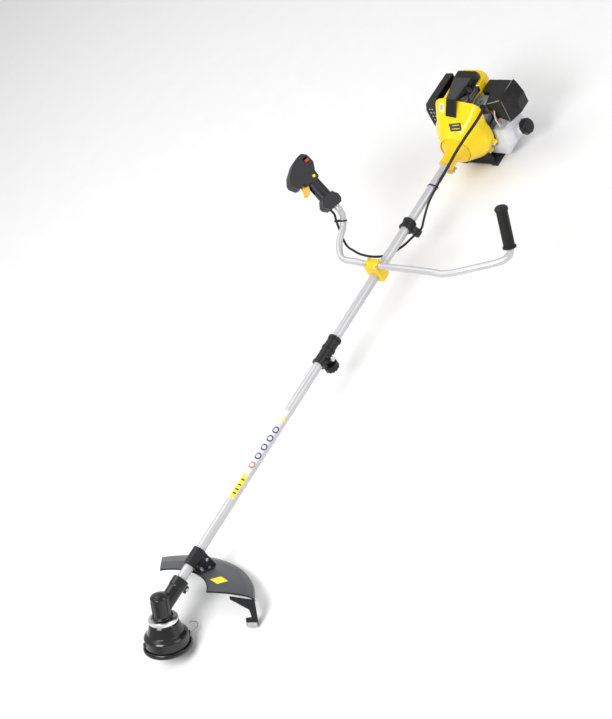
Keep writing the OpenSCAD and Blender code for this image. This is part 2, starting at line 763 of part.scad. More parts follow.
module harness_clamp() {
    color("#141517") on_shaft(hanger_at) difference() {
        union() {
            translate([-hanger_w / 2, 0, 0]) rod_x(tube_r + 5.5, hanger_w);
            translate([-hanger_w / 2, 0, 0]) rod_x(tube_r + 7.5, 6);
            translate([hanger_w / 2 - 6, 0, 0]) rod_x(tube_r + 7.5, 6);
            translate([-9, eye_arm[0], eye_arm[1]]) rod_x(11.5, 18);
            rotate([atan2(-eye_arm[0], eye_arm[1]), 0, 0]) translate([-9, -10, 0]) cube([18, 20, norm(eye_arm)]);
        }
        translate([-hanger_w, 0, 0]) rod_x(tube_r + 0.02, 2 * hanger_w);
        translate([-hanger_w, eye_arm[0], eye_arm[1]]) rod_x(eye_d / 2, 2 * hanger_w);
    }
}

module throttle_conduit() {
    color("#1a1a1a") on_shaft(0) swept_rod(conduit_route, conduit_r, 8, 3);
}

module cable_ties() {
    color("#202020") {
        on_engine(-85) tie_band(tube_r, 18.4, atan2(4, -18));
        on_shaft(0) translate(tie_at) multmatrix([
            [tie_x[0], tie_y[0], tie_z[0], 0],
            [tie_x[1], tie_y[1], tie_z[1], 0],
            [tie_x[2], tie_y[2], tie_z[2], 0],
            [0, 0, 0, 1]]) tie_band(bar_r + 0.3, tie_reach, 0);
    }
}

// Place of the tie on the handlebar, the bar's direction there, and the conduit's side
tie_step = [for (t = [0.4, 0.5, 0.6]) curve_point(right_arm[5], right_arm[6], right_arm[7], right_arm[8], t)];
tie_at = bar_at + tie_step[1];
tie_x = unit(tie_step[2] - tie_step[0]);
tie_to = (conduit_route[20] + conduit_route[21]) / 2 - tie_at;
tie_y = square_to(tie_to, tie_x);
tie_z = cross(tie_x, tie_y);
tie_reach = tie_to * tie_y;

// A band about X round a tube of radius r and the conduit that lies beside it at a turn and reach
module tie_band(r, reach, turn) {
    rotate([turn, 0, 0]) translate([-2, 0, 0]) difference() {
        hull() {
            rod_x(r + 1.2, 4);
            translate([0, reach, 0]) rod_x(conduit_r + 3, 4);
        }
        translate([-1, 0, 0]) hull() {
            rod_x(r + 0.1, 6);
            translate([0, reach, 0]) rod_x(conduit_r + 1.9, 6);
        }
    }
}

module body_screws() {
    color("silver") {
        on_shaft(handle_at) for (x = [-1, 1], y = [-1, 1])
            translate([x * (clamp_len / 2 - 4.5), y * (clamp_w / 2 - 4.5), clamp_split + 8.5])
                screw(4, 24);
        // Screws of the engine's nose clamp
        on_engine() for (x = nose_screws) translate([x, -9.1, -nose_screw_z]) rotate([90, 0, 0]) screw(5, 16);
        // Screws of the front housing, in its bosses
        for (a = boss_turns) on_engine(boss_at - 0.1)
            translate([0, 8 + boss_r * cos(a), boss_r * sin(a)]) rotate([0, -90, 0]) cylinder(r = 4.5, h = 4);
    }
}

// ---- Engine: clutch ----

drum_r = 39;
nose_screws = [7, 19];
nose_screw_z = tube_r + 15;
clutch_back = 92;

module clutch_housing() {
    color("#f2c500") on_engine() difference() {
        union() {
            // Lugs of the nose clamp
            translate([2, -9, -nose_screw_z - 7]) cube([22, 18, 20]);
            rotate([0, 90, 0]) cylinder(r = tube_r + 9, h = 44);
            translate([44, 0, 0]) rotate([0, 90, 0]) cylinder(r1 = tube_r + 9, r2 = drum_r + 7, h = 16);
            translate([60, 0, 0]) rod_x(drum_r + 7, clutch_back - 60);
            translate([clutch_back - 6, 0, 0]) rod_x(drum_r + 16, 6);
        }
        translate([-1, 0, 0]) rod_x(tube_r + 0.02, tube_seat + 1);
        translate([40, 0, 0]) rod_x(tube_in, 8);
        // Seat of the drum's bearing, then room for the drum
        translate([46, 0, 0]) rod_x(13, 12);
        translate([57.5, 0, 0]) rod_x(drum_r + 1.5, 60);
        translate([-1, -1.25, -40]) cube([40, 2.5, 40]);
        for (x = nose_screws) translate([x, -20, -nose_screw_z]) rod_y(2.6, 40);
    }
    color("silver") on_engine(47) pipe_x(13, 7 + fit, 10);
}

module clutch_drum() {
    color("slategray") on_engine() difference() {
        union() {
            translate([47, 0, 0]) rod_x(7, 12);
            translate([58.5, 0, 0]) rod_x(drum_r, 28);
        }
        translate([61, 0, 0]) rod_x(drum_r - 2, 40);
        translate([30, -drive_flat / 2 - 0.01, -drive_flat / 2 - 0.01])
            cube([40, drive_flat + 0.02, drive_flat + 0.02]);
    }
}

fan_at = 94;

module flywheel_fan() {
    color("silver") on_engine() {
        difference() {
            union() {
                translate([fan_at, 0, 0]) rod_x(fan_r, 4);
                translate([fan_at, 0, 0]) rod_x(20, 22);
                for (a = [0 : 20 : 340]) rotate([a, 0, 0]) translate([fan_at + 3.9, -1.25, 30])
                    cube([16, 2.5, fan_r - 31]);
            }
            translate([fan_at - 1, 0, 0]) rod_x(9, 30);
        }
        // Magnet of the ignition
        translate([fan_at + 4, -9, fan_r - 12]) cube([14, 18, 8]);
        // Two clutch shoes and their spring, on the fan's face
        for (a = [0, 180]) rotate([a, 0, 0]) difference() {
            translate([66, 0, 0]) rod_x(drum_r - 3, 14);
            translate([60, 0, 0]) rod_x(15, 30);
            translate([60, -50, -92]) cube([30, 100, 96]);
        }
        translate([71, 0, 0]) pipe_x(16.2, 14.4, 4);
        for (a = [0, 180]) rotate([a, 0, 0]) translate([66, 0, 25]) rod_x(5, fan_at - 65.9);
    }
}

// ---- Engine: crankcase, cylinder and piston ----

case_from = 122;
case_to = 226;
crank_mid = 186;            // place of the cylinder's axis along the shaft
web_r = 25;
throw = stroke / 2;
rod_len = 66;
piston_r = bore_d / 2 - fit;
pin_low = rod_len - throw;  // the piston pin's height with the piston at the bottom
deck = 42;                  // height of the crankcase's top

module crankshaft() {
    color("lightsteelblue") on_engine() {
        translate([fan_at + 0.1, 0, 0]) rod_x(8.8, 24);
        translate([fan_at + 22, 0, 0]) rod_x(7, crank_mid - 17 - fan_at - 22);
        translate([crank_mid - 17, 0, 0]) rod_x(web_r, 9);
        translate([crank_mid + 8, 0, 0]) rod_x(web_r, 9);
        translate([crank_mid + 17, 0, 0]) rod_x(7, 27);
        // Pawl plate of the recoil starter
        translate([crank_mid + 44, 0, 0]) rod_x(22, 5);
    }
}

module crankcase() {
    color("silver") on_engine() difference() {
        union() {
            translate([case_from, 0, 0]) rod_x(42, case_to - case_from);
            translate([crank_mid - 27, -31, 0]) cube([54, 62, deck]);
            translate([case_from + 6, -40, -50]) cube([case_to - case_from - 12, 80, 26]);
        }
        translate([crank_mid - 19, 0, 0]) rod_x(web_r + 3, 38);
        translate([crank_mid, 0, 0]) cylinder(r = piston_r + 3, h = 60);
        for (x = [crank_mid - 36, crank_mid + 18]) translate([x, 0, 0]) rod_x(14.02, 18);
        translate([case_from - 10, 0, 0]) rod_x(9, 130);
    }
    // Main bearings
    color("gray") on_engine() for (x = [crank_mid - 34, crank_mid + 26])
        translate([x, 0, 0]) pipe_x(14, 7 + fit, 9);
}

fin_count = 6;

module cylinder_fins() {
    for (k = [0 : fin_count - 1]) translate([0, 0, deck + 14 + k * 10]) rounded_block([71, 74, 2.4], 12);
}

module engine_cylinder() {
    color("darkgray") on_engine(crank_mid) difference() {
        union() {
            translate([0, 0, deck]) cylinder(r = bore_d / 2 + 5, h = cyl_top - deck);
            translate([0, 0, deck]) rounded_block([54, 60, 5], 5);
            cylinder_fins();
            // Inlet and exhaust ports' flanges
            translate([-16, -37, deck + 12]) cube([32, 20, 26]);
            translate([-16, 17, deck + 12]) cube([32, 22, 26]);
        }
        translate([0, 0, deck - 1]) cylinder(r = bore_d / 2, h = cyl_top - deck - 7);
        translate([0, -60, port_z]) rod_y(8, 50);
        translate([0, 10, port_z]) rod_y(9, 50);
        translate([0, plug_y, cyl_top - 8]) rotate([plug_lean, 0, 0]) {
            translate([0, 0, -20]) cylinder(r = plug_r + 0.02, h = 40);
            translate([0, 0, 8]) cylinder(r = 10, h = 40);
        }
    }
}

cyl_top = 109;
plug_r = 6;
plug_lean = 50;
plug_y = -8;
boot_r = 9;
port_z = deck + 25;         // height of the inlet and exhaust ports

module piston_and_rod() {
    color("lightgray") on_engine(crank_mid) {
        difference() {
            translate([0, 0, pin_low - 12]) cylinder(r = piston_r, h = 26);
            translate([0, 0, pin_low - 13]) cylinder(r = piston_r - 4, h = 20);
        }
        // Piston pin, across the piston and through the rod's small end
        translate([-piston_r + 1, 0, pin_low]) rod_x(5, 2 * piston_r - 2);
        // Connecting rod with the crankpin in its big end
        difference() {
            union() {
                translate([-4, 0, pin_low]) rod_x(8, 8);
                translate([-4, 0, -throw]) rod_x(11, 8);
                translate([-2.5, -5, -throw + 9]) cube([5, 10, pin_low + throw - 16]);
            }
            translate([-10, 0, pin_low]) rod_x(5, 20);
        }
        translate([-7.6, 0, -throw]) rod_x(6, 15.2);
    }
}

// The plug leans to the operator's left, out of the cylinder's head.
module on_plug() { on_engine(crank_mid) translate([0, plug_y, cyl_top - 8]) rotate([plug_lean, 0, 0]) children(); }

module spark_plug() {
    on_plug() {
        color("silver") cylinder(r = plug_r, h = 8.2);
        color("silver") translate([0, 0, 8.1]) cylinder(r = 8, h = 6, $fn = 6);
        color("white") translate([0, 0, 14]) cylinder(r = plug_r - 0.5, h = 10);
        color("#202020") difference() {
            translate([0, 0, 17]) cylinder(r = boot_r, h = 18);
            translate([0, 0, 16]) cylinder(r = plug_r - 0.4, h = 8.1);
        }
    }
    // Lead, from the boot down to the coil beside the fan
    color("#202020") on_engine() {
        swept_rod([[crank_mid - 6, -31, 117], [crank_mid - 16, -37, 114], [crank_mid - 28, -43, 106],
                   [crank_mid - 38, -47, 93], [crank_mid - 47, -50, 78], [crank_mid - 53, -52, 64]], 3, 8, 4);
        translate([case_from + 2, -62, 44]) cube([18, 20, 24]);
    }
}

// ---- Engine: covers ----

// Outer form of the front housing, a cone over the clutch that widens to the fan case and the
// cylinder's cover; w moves its faces in by a wall.
module fan_cover_form(w) {
    $fn = 32;
    hull() {
        translate([26 + 2 * w, 0, 0]) rod_x(25 - w, 1);
        translate([118, 8, 0]) rod_x(fan_case_r - w, 1);
        translate([149 + w, 8, 0]) rod_x(fan_case_r - w, 1);
    }
    hull() {
        translate([60 + 2 * w, 0, 8]) rod_x(34 - w, 1);
        translate([118 + w, -44, 58]) rod_x(24 - w, 1);
        translate([118 + w, 38, 60]) rod_x(32 - w, 1);
        translate([149 + w, -52, 78]) rod_x(28 - w, 1);
        translate([149 + w, 40, 80]) rod_x(42 - w, 1);
        translate([149 + w, 0, 20]) rod_x(70 - w, 1);
    }
    // Bosses of the housing's screws
    if (w == 0) for (a = boss_turns) translate([boss_at, 8 + boss_r * cos(a), boss_r * sin(a)]) rod_x(6.5, 14);
}

boss_turns = [-28, -128, -155];
boss_r = fan_case_r + 5;
boss_at = 136;

module fan_cover() {
    color("#ffd60a") on_engine() difference() {
        fan_cover_form(0);
        // The hollow runs out of the open back.
        fan_cover_form(3);
        // Room for the nose and the clutch housing
        rod_x(tube_r + 9.5, 60);
        translate([20, 0, 0]) rod_x(drum_r + 8, 80);
        translate([0, -12, -50]) cube([60, 24, 60]);
    }
}

// A wedge-shaped strap over the front housing and the plug, open below
module top_cover() {
    color("#161619") on_engine() difference() {
        union() {
            hull() {
                translate([143, -12, 123.5]) cube([4, 34, 3]);
                translate([206, -42, cover_top - 10]) cube([28, 62, 10]);
                translate([238, -40, 118]) cube([4, 58, 20]);
                translate([196, -42, 118]) cube([4, 62, 20]);
            }
            // Strap end that lies on the front housing's slope
            hull() {
                translate([143, -12, 122.5]) cube([4, 34, 4]);
                translate([110, -12, 84]) cube([3, 34, 8]);
            }
        }
        fan_cover_form(-0.4);
        hull() {
            translate([146, -9, 119.5]) cube([4, 28, 3]);
            translate([207, -39, cover_top - 14]) cube([25, 56, 10]);
            translate([236, -37, 100]) cube([3, 52, 34]);
            translate([198, -39, 100]) cube([4, 56, 36]);
        }
        // Notch for the plug's boot
        translate([crank_mid, plug_y, cyl_top - 8]) rotate([plug_lean, 0, 0])
            translate([0, 0, 14]) cylinder(r = boot_r + 1.5, h = 60);
    }
}

shroud_top = cyl_top + 6;

// Sheet round the cylinder, open in front, below and at the ports, with a raised rear end
module rear_shroud() {
    color("#ffd60a") on_engine() difference() {
        union() {
            translate([151, -46, 70]) cube([96, 92, shroud_top - 70]);
            hull() {
                translate([243, -44, 70]) cube([24, 86, shroud_top - 76]);
                translate([244, -40, 70]) cube([14, 78, 62]);
            }
        }
        translate([140, -43, 60]) cube([104, 86, shroud_top - 63]);
        translate([240, -40, 60]) cube([20, 78, 48]);
        translate([crank_mid - 22, -60, 40]) cube([44, 40, 50]);
        translate([crank_mid - 22, 30, 40]) cube([44, 40, 50]);
        // Way out for the plug and its lead
        translate([140, -60, 92]) cube([76, 58, 60]);
        // The rope's way up from the starter
        translate([reel_at + 15 - 9, handle_y - 28, 66]) cube([18, 60, 90]);
    }
}

// ---- Engine: exhaust ----

module muffler() {
    color("dimgray") on_engine() difference() {
        union() {
            translate([156, 66, 8]) cube([66, 42, 88]);
            translate([crank_mid - 16, 39.1, deck + 12]) cube([32, 27, 26]);
            translate([214, 84, 30]) rod_x(8, 18);
        }
        translate([crank_mid, 30, port_z]) rod_y(9, 40);
        translate([159, 69, 11]) cube([60, 36, 82]);
        translate([208, 84, 30]) rod_x(6, 40);
    }
}

guard_outer = [[64, -24], [92, -24], [118, -14], [127, 8], [127, 66], [116, 92], [92, 116], [66, 118]];
guard_inner = [[50, -21], [91, -21], [116, -11], [124, 9], [124, 65], [114, 90], [91, 113], [50, 115]];
guard_x = 151;
guard_x_len = 104;

module muffler_guard() {
    color("#18181a") on_engine() difference() {
        translate([guard_x, 0, 0]) rotate([90, 0, 90]) linear_extrude(guard_x_len) polygon(guard_outer);
        // Hollow, open towards the cylinder
        translate([guard_x + 3, 0, 0]) rotate([90, 0, 90]) linear_extrude(guard_x_len - 6) polygon(guard_inner);
        // Rows of round holes in the front, the side and the slope above it
        for (x = [guard_x + 12 : 14 : guard_x + guard_x_len - 10], z = [12, 24, 36, 48, 60])
            translate([x + (z % 24 == 0 ? 4 : 0), 118, z]) rod_y(3, 20);
        for (x = [guard_x + 12 : 14 : guard_x + guard_x_len - 10], k = [0, 12])
            translate([x, 103, 104]) rotate([-45, 0, 0]) translate([0, -6 + k, -8]) cylinder(r = 3, h = 16);
        for (y = [104, 114], z = [0, 14, 28, 42, 56, 70]) translate([guard_x - 5, y, z]) rod_x(3, 12);
    }
}

// ---- Engine: intake ----

carb_y = -74;

module carburettor() {
    color("darkgray") on_engine(crank_mid) difference() {
        union() {
            // Insulator, then the body
            translate([-16, -52, deck + 12]) cube([32, 14.8, 26]);
            translate([-19, -84, deck + 6]) cube([38, 32.2, 38]);
            translate([0, -68, deck]) cylinder(r = 12, h = 7);
        }
        translate([0, -90, port_z]) rod_y(8, 60);
        translate([-12, carb_y + 6, deck + 38]) cylinder(r = 3 + fit, h = 10);
    }
}

module throttle_lever() {
    color("silver") on_engine(crank_mid - 12) {
        translate([0, carb_y + 6, deck + 38.2]) cylinder(r = 3, h = 10.8);
        translate([0, carb_y + 6, deck + 46.6]) difference() {
            union() {
                cylinder(r = 6, h = 2.4);
                translate([-18, -3, 0]) cube([18, 6, 2.4]);
                translate([-18, 0, 0]) cylinder(r = 4.5, h = 2.4);
            }
            translate([-18, 0, -1]) cylinder(r = 2, h = 5);
        }
    }
}

filter_from = 182;

module air_filter_base() {
    color("#19191b") on_engine() difference() {
        union() {
            hull() {
                translate([filter_from - 12, -87, 44]) cube([70, 2, 42]);
                translate([filter_from - 6, -131, 14]) cube([84, 2, 82]);
                translate([filter_from + 30, -56, 72]) cube([46, 2, 24]);
            }
        }
        hull() {
            translate([filter_from - 8, -90, 48]) cube([62, 2, 34]);
            translate([filter_from - 3, -134, 17]) cube([78, 6, 76]);
            translate([filter_from + 34, -60, 76]) cube([38, 2, 14]);
        }
        translate([crank_mid - 24, -84.5, 40]) cube([46, 40, 60]);
        translate([crank_mid, -100, port_z]) rod_y(8, 30);
    }
    // Filter element inside
    color("tan") on_engine() translate([filter_from + 6, -124, 28]) cube([58, 20, 52]);
}

module air_filter_cover() {
    color("#131315") on_engine() difference() {
        hull() {
            translate([filter_from - 8, -136, 12]) cube([88, 4.7, 86]);
            translate([filter_from, -150, 22]) cube([72, 4, 68]);
            translate([filter_from + 14, -172, 34]) cube([44, 4, 40]);
        }
        hull() {
            translate([filter_from - 5, -134, 15]) cube([82, 4.7, 80]);
            translate([filter_from + 3, -147, 25]) cube([66, 4, 62]);
            translate([filter_from + 17, -169, 37]) cube([38, 4, 34]);
        }
    }
}

// ---- Engine: fuel ----

cap_mid = [212, -138, -44];
cap_dir = unit([0.1, -1, 0.35]);

module fuel_tank() {
    color("#f2f2f4") on_engine() difference() {
        union() {
            tank_form(0);
            translate(cap_mid) pointing(cap_dir) translate([0, 0, -30]) cylinder(r = cap_d / 2 - 5, h = 32);
        }
        tank_form(2.5);
        translate(cap_mid) pointing(cap_dir) translate([0, 0, -40]) cylinder(r = cap_d / 2 - 8, h = 50);
    }
}

// Flat main chamber under the engine, and the filler's chamber that rises beside it; w is the wall
module tank_form(w) {
    hull() {
        translate([153 + w, -100 + w, -70]) cube([100 - 2 * w, 150 - 2 * w, 4 - w]);
        translate([159 + w, -92 + w, tank_low + w]) cube([88 - 2 * w, 138 - 2 * w, 3]);
    }
    hull() {
        translate([153 + w, -108 + w, -66]) cube([100 - 2 * w, 38 - 2 * w, 3]);
        translate([159 + w, -110 + w, -12]) cube([88 - 2 * w, 40 - 2 * w, 4 - w]);
        translate([178 + w, -124 + w, -66]) cube([68 - 2 * w, 40 - 2 * w, 34]);
        translate([160 + w, -92 + w, tank_low + w]) cube([84 - 2 * w, 24 - 2 * w, 3]);
    }
}

tank_low = -shaft_h + 18;

module fuel_cap() {
    color("#131314") on_engine() translate(cap_mid) pointing(cap_dir) difference() {
        union() {
            rotate_extrude() polygon([[0, 2 + gap], [cap_d / 2, 2 + gap], [cap_d / 2, 17.4],
                                      [cap_d / 2 - 3, 21.4], [0, 21.4]]);
            for (a = [0 : 40 : 320]) rotate(a) translate([cap_d / 2 - 1, 0, 3]) cylinder(r = 3, h = 13);
            // Plug inside the neck
            translate([0, 0, -8]) cylinder(r = cap_d / 2 - 8 - gap, h = 16);
        }
        translate([0, 0, 1]) ring(cap_d / 2 - 5 + gap, cap_d / 2 - 8 - gap, 6);
    }
}

module engine_stand() {
    color("#1a1b1e") on_engine() difference() {
        union() {
            hull() {
                translate([126, -60, -shaft_h]) cube([110, 132, 8]);
                translate([130, -52, -shaft_h + 8]) cube([102, 116, 6]);
            }
            // Front web, up to the crankcase
            hull() {
                translate([130, -46, -shaft_h + 10]) cube([12, 104, 4]);
                translate([136, -30, -56]) cube([12, 60, 4]);
            }
        }
        // Low arch between the feet, and room for the fan case
        translate([100, -38, -shaft_h - 1]) cube([200, 88, 7]);
        translate([100, 8, 0]) rod_x(fan_case_r + gap, 51.5);
        for (y = [-44, 56]) translate([220, y, -shaft_h - 1]) cylinder(r = 2.6, h = 60);
    }
}

// ---- Engine: recoil starter ----

reel_at = 240;
reel_r = 36;
handle_y = 52;

module starter_housing() {
    color("#1d1d20") on_engine() difference() {
        union() {
            translate([case_to, 0, 0]) rod_x(58, 42);
            translate([case_to + 42, 0, 0]) rotate([0, 90, 0]) cylinder(r1 = 58, r2 = 46, h = 12);
            // Outlet of the rope
            translate([reel_at + 6, handle_y - 20, 20]) cube([18, 20, 46]);
        }
        translate([case_to - 1, 0, 0]) rod_x(54, 44);
        translate([case_to + 42, 0, 0]) rotate([0, 90, 0]) cylinder(r1 = 54, r2 = 43, h = 9);
        translate([reel_at + 15, handle_y - 10, 10]) cylinder(r = 2.5, h = 60);
        for (a = [0 : 30 : 330]) rotate([a, 0, 0]) translate([270, 0, 32]) rod_x(5, 30);
    }
    // Post of the reel
    color("silver") on_engine(reel_at - 2) rod_x(5, case_to + 54 - reel_at - 1);
}

module starter_reel() {
    color("whitesmoke") on_engine(reel_at) difference() {
        union() {
            rod_x(reel_r, 3);
            translate([3, 0, 0]) rod_x(reel_r - 8, 10);
            translate([13, 0, 0]) rod_x(reel_r, 3);
        }
        translate([-1, 0, 0]) rod_x(5 + fit, 30);
    }
}

module starter_handle() {
    color("#151517") on_engine(reel_at + 15) translate([0, handle_y - 10, 66 + gap]) union() {
        translate([-8, -17, 0]) cube([16, 34, 8]);
        translate([-5, -15, 8]) cube([10, 30, 6]);
        translate([0, 0, -20]) cylinder(r = 1.8, h = 21);
    }
}

lower_tube();
lower_bushes();
gearbox_housing();
guard_bracket();
guard_shell();
guard_skirt();
line_cutter();
guard_screws();
lower_drive_shaft();
bevel_pinion();
output_gear();
blade_flange();
head_housing();
head_cover();
line_spool();
bump_knob();
trimmer_line();
upper_tube();
upper_bushes();
coupler_sleeve();
coupler_knob();
latch_pin();
upper_drive_shaft();
clutch_drum();
handle_clamp_base();
handle_clamp_cap();
handlebar();
left_grip();
throttle_grip_inner();
throttle_grip_outer();
throttle_trigger();
lockout_lever();
stop_switch();
hold_button();
harness_clamp();
throttle_conduit();
cable_ties();
body_screws();
clutch_housing();
fan_cover();
top_cover();
rear_shroud();
crankcase();
engine_cylinder();
spark_plug();
muffler();
muffler_guard();
carburettor();
throttle_lever();
air_filter_base();
air_filter_cover();
fuel_tank();
fuel_cap();
engine_stand();
starter_housing();
starter_reel();
starter_handle();
flywheel_fan();
crankshaft();
piston_and_rod();
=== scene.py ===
"""Looks of a string trimmer with a split shaft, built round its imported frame.

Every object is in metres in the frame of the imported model. Helper functions take millimetres from
the crossing of the bevel gears' axes, with X along the shaft, Y to the operator's right and Z up.
"""

import json
import logging
import math
from dataclasses import dataclass
from enum import Enum

import bpy
from mathutils import Matrix, Vector
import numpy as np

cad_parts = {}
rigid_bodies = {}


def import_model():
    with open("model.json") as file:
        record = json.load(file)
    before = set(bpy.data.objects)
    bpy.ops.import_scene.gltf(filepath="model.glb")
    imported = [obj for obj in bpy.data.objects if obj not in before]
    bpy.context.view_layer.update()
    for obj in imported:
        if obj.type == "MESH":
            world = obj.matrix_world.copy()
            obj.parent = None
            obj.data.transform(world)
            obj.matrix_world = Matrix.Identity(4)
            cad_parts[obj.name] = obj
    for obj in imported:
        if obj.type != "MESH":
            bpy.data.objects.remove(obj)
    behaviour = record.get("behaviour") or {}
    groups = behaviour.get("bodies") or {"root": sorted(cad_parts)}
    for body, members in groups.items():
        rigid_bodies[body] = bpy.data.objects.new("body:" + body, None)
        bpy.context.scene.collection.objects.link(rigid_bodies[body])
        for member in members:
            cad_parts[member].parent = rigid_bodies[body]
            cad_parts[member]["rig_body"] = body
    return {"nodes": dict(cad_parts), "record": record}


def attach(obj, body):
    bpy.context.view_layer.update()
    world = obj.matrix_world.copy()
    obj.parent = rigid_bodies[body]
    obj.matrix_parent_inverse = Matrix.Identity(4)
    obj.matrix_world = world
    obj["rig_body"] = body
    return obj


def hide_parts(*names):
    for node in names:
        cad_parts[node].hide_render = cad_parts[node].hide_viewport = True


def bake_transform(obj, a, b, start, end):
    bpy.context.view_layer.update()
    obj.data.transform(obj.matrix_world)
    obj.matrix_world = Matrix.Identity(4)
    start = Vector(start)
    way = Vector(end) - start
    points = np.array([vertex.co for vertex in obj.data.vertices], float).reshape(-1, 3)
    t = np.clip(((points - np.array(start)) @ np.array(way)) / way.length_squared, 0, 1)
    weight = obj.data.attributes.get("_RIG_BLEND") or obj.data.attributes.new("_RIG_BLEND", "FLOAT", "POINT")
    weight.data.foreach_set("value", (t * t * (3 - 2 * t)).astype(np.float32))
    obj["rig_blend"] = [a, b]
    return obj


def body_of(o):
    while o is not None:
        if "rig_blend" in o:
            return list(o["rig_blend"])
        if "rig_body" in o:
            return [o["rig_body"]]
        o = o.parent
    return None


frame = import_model()

log = logging.getLogger("string_trimmer")

MM = 0.001
GEAR_CENTRE = Vector((-841.98, 86.5, 125.01))
ENGINE_NOSE = 1514.0
HEAD_TILT = math.radians(31.4)
BAR_CENTRE = Vector((1109.0, 0.0, 30.0))
THROTTLE_FOOT = BAR_CENTRE + Vector((109.0, 148.0, 100.0))
THROTTLE_WAY = Vector((25.0, 65.0, 83.0)).normalized()
LEFT_FOOT = BAR_CENTRE + Vector((89.0, -421.5, 43.0))
LEFT_WAY = Vector((42.0, 9.0, 89.0)).normalized()
ALONG = Vector((1.0, 0.0, 0.0))
LABEL_UP = Vector((0.78, 0.16, 0.61))
Route = list[Vector]
Outline = list[tuple[float, float]]


# ---- Places ----


def on_shaft(x: float, y: float, z: float) -> Vector:
    """Give the place of a point that is stated in millimetres along the shaft.

    Args:
        x: Distance along the shaft from the gears, in millimetres.
        y: Distance to the operator's right.
        z: Height above the shaft's axis.

    Returns:
        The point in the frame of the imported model, in metres.
    """
    return (GEAR_CENTRE + Vector((x, y, z))) * MM


def on_engine(x: float, y: float, z: float) -> Vector:
    """Give the place of a point stated from the engine's nose, in millimetres."""
    return on_shaft(ENGINE_NOSE + x, y, z)


def head_turn() -> Matrix:
    """Give the rotation that turns +Z to the trimmer head's axis."""
    return Matrix.Rotation(HEAD_TILT, 4, "Y")


def on_head(x: float, y: float, z: float) -> Vector:
    """Give the place of a point stated in the leaning head's own axes, in millimetres."""
    return (GEAR_CENTRE + head_turn() @ Vector((x, y, z))) * MM


def grip_axes() -> Matrix:
    """Give the throttle grip's axes: Z along the bar's end, X to the trigger's side.

    Returns:
        The matrix from the grip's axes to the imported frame.
    """
    side = Vector((-1.0, 0.0, 0.0))
    side = (side - side.dot(THROTTLE_WAY) * THROTTLE_WAY).normalized()
    out = THROTTLE_WAY.cross(side)
    turn = Matrix((side, out, THROTTLE_WAY)).transposed().to_4x4()
    return Matrix.Translation((GEAR_CENTRE + THROTTLE_FOOT) * MM) @ turn


def on_grip(x: float, y: float, z: float) -> Vector:
    """Give the place of a point stated in the throttle grip's own axes, in millimetres."""
    return grip_axes() @ (Vector((x, y, z)) * MM)


def smooth_route(points: Route, steps: int) -> Route:
    """Run one smooth curve through the points.

    Args:
        points: The points that the curve passes through.
        steps: How many stretches each gap between two points is cut into.

    Returns:
        The curve's points, the given ones among them.
    """
    found: Route = []
    last = len(points) - 1
    for i in range(last):
        a, b = points[max(i - 1, 0)], points[i]
        c, d = points[i + 1], points[min(i + 2, last)]
        for k in range(steps):
            t = k / steps
            found.append(
                0.5
                * (
                    2 * b
                    + (c - a) * t
                    + (2 * a - 5 * b + 4 * c - d) * t * t
                    + (3 * b - a - 3 * c + d) * t * t * t
                )
            )
    found.append(points[last])
    return found


def oblong(wide: float, tall: float) -> Outline:
    """Give the corners of an oblong about the origin, in millimetres."""
    x, y = wide / 2, tall / 2
    return [(-x, -y), (x, -y), (x, y), (-x, y)]


def round_outline(radius: float, sides: int = 20) -> Outline:
    """Give the corners of a round outline, in millimetres."""
    turns = [math.tau * k / sides for k in range(sides)]
    return [(radius * math.cos(t), radius * math.sin(t)) for t in turns]


# ---- Finishes ----

Colour = tuple[float, float, float]
DUST_COLOUR: Colour = (0.62, 0.58, 0.5)
FUEL_COLOUR: Colour = (0.62, 0.63, 0.68)


class Slot(Enum):
    """The record's material slots."""

    TUBE = "tube_paint"
    BUSH = "bush_plastic"
    CASTING = "black_casting"
    GUARD = "guard_plastic"
    BLACK = "black_plastic"
    SHEET = "black_sheet"
    STEEL = "steel"
    BRIGHT = "bright_alloy"
    ALLOY = "cast_alloy"
    LINE = "line_nylon"
    YELLOW_METAL = "yellow_metal"
    YELLOW = "yellow_plastic"
    RUBBER = "grip_rubber"
    RED = "red_plastic"
    CONDUIT = "conduit_rubber"
    TANK = "tank_plastic"
    REEL = "reel_plastic"


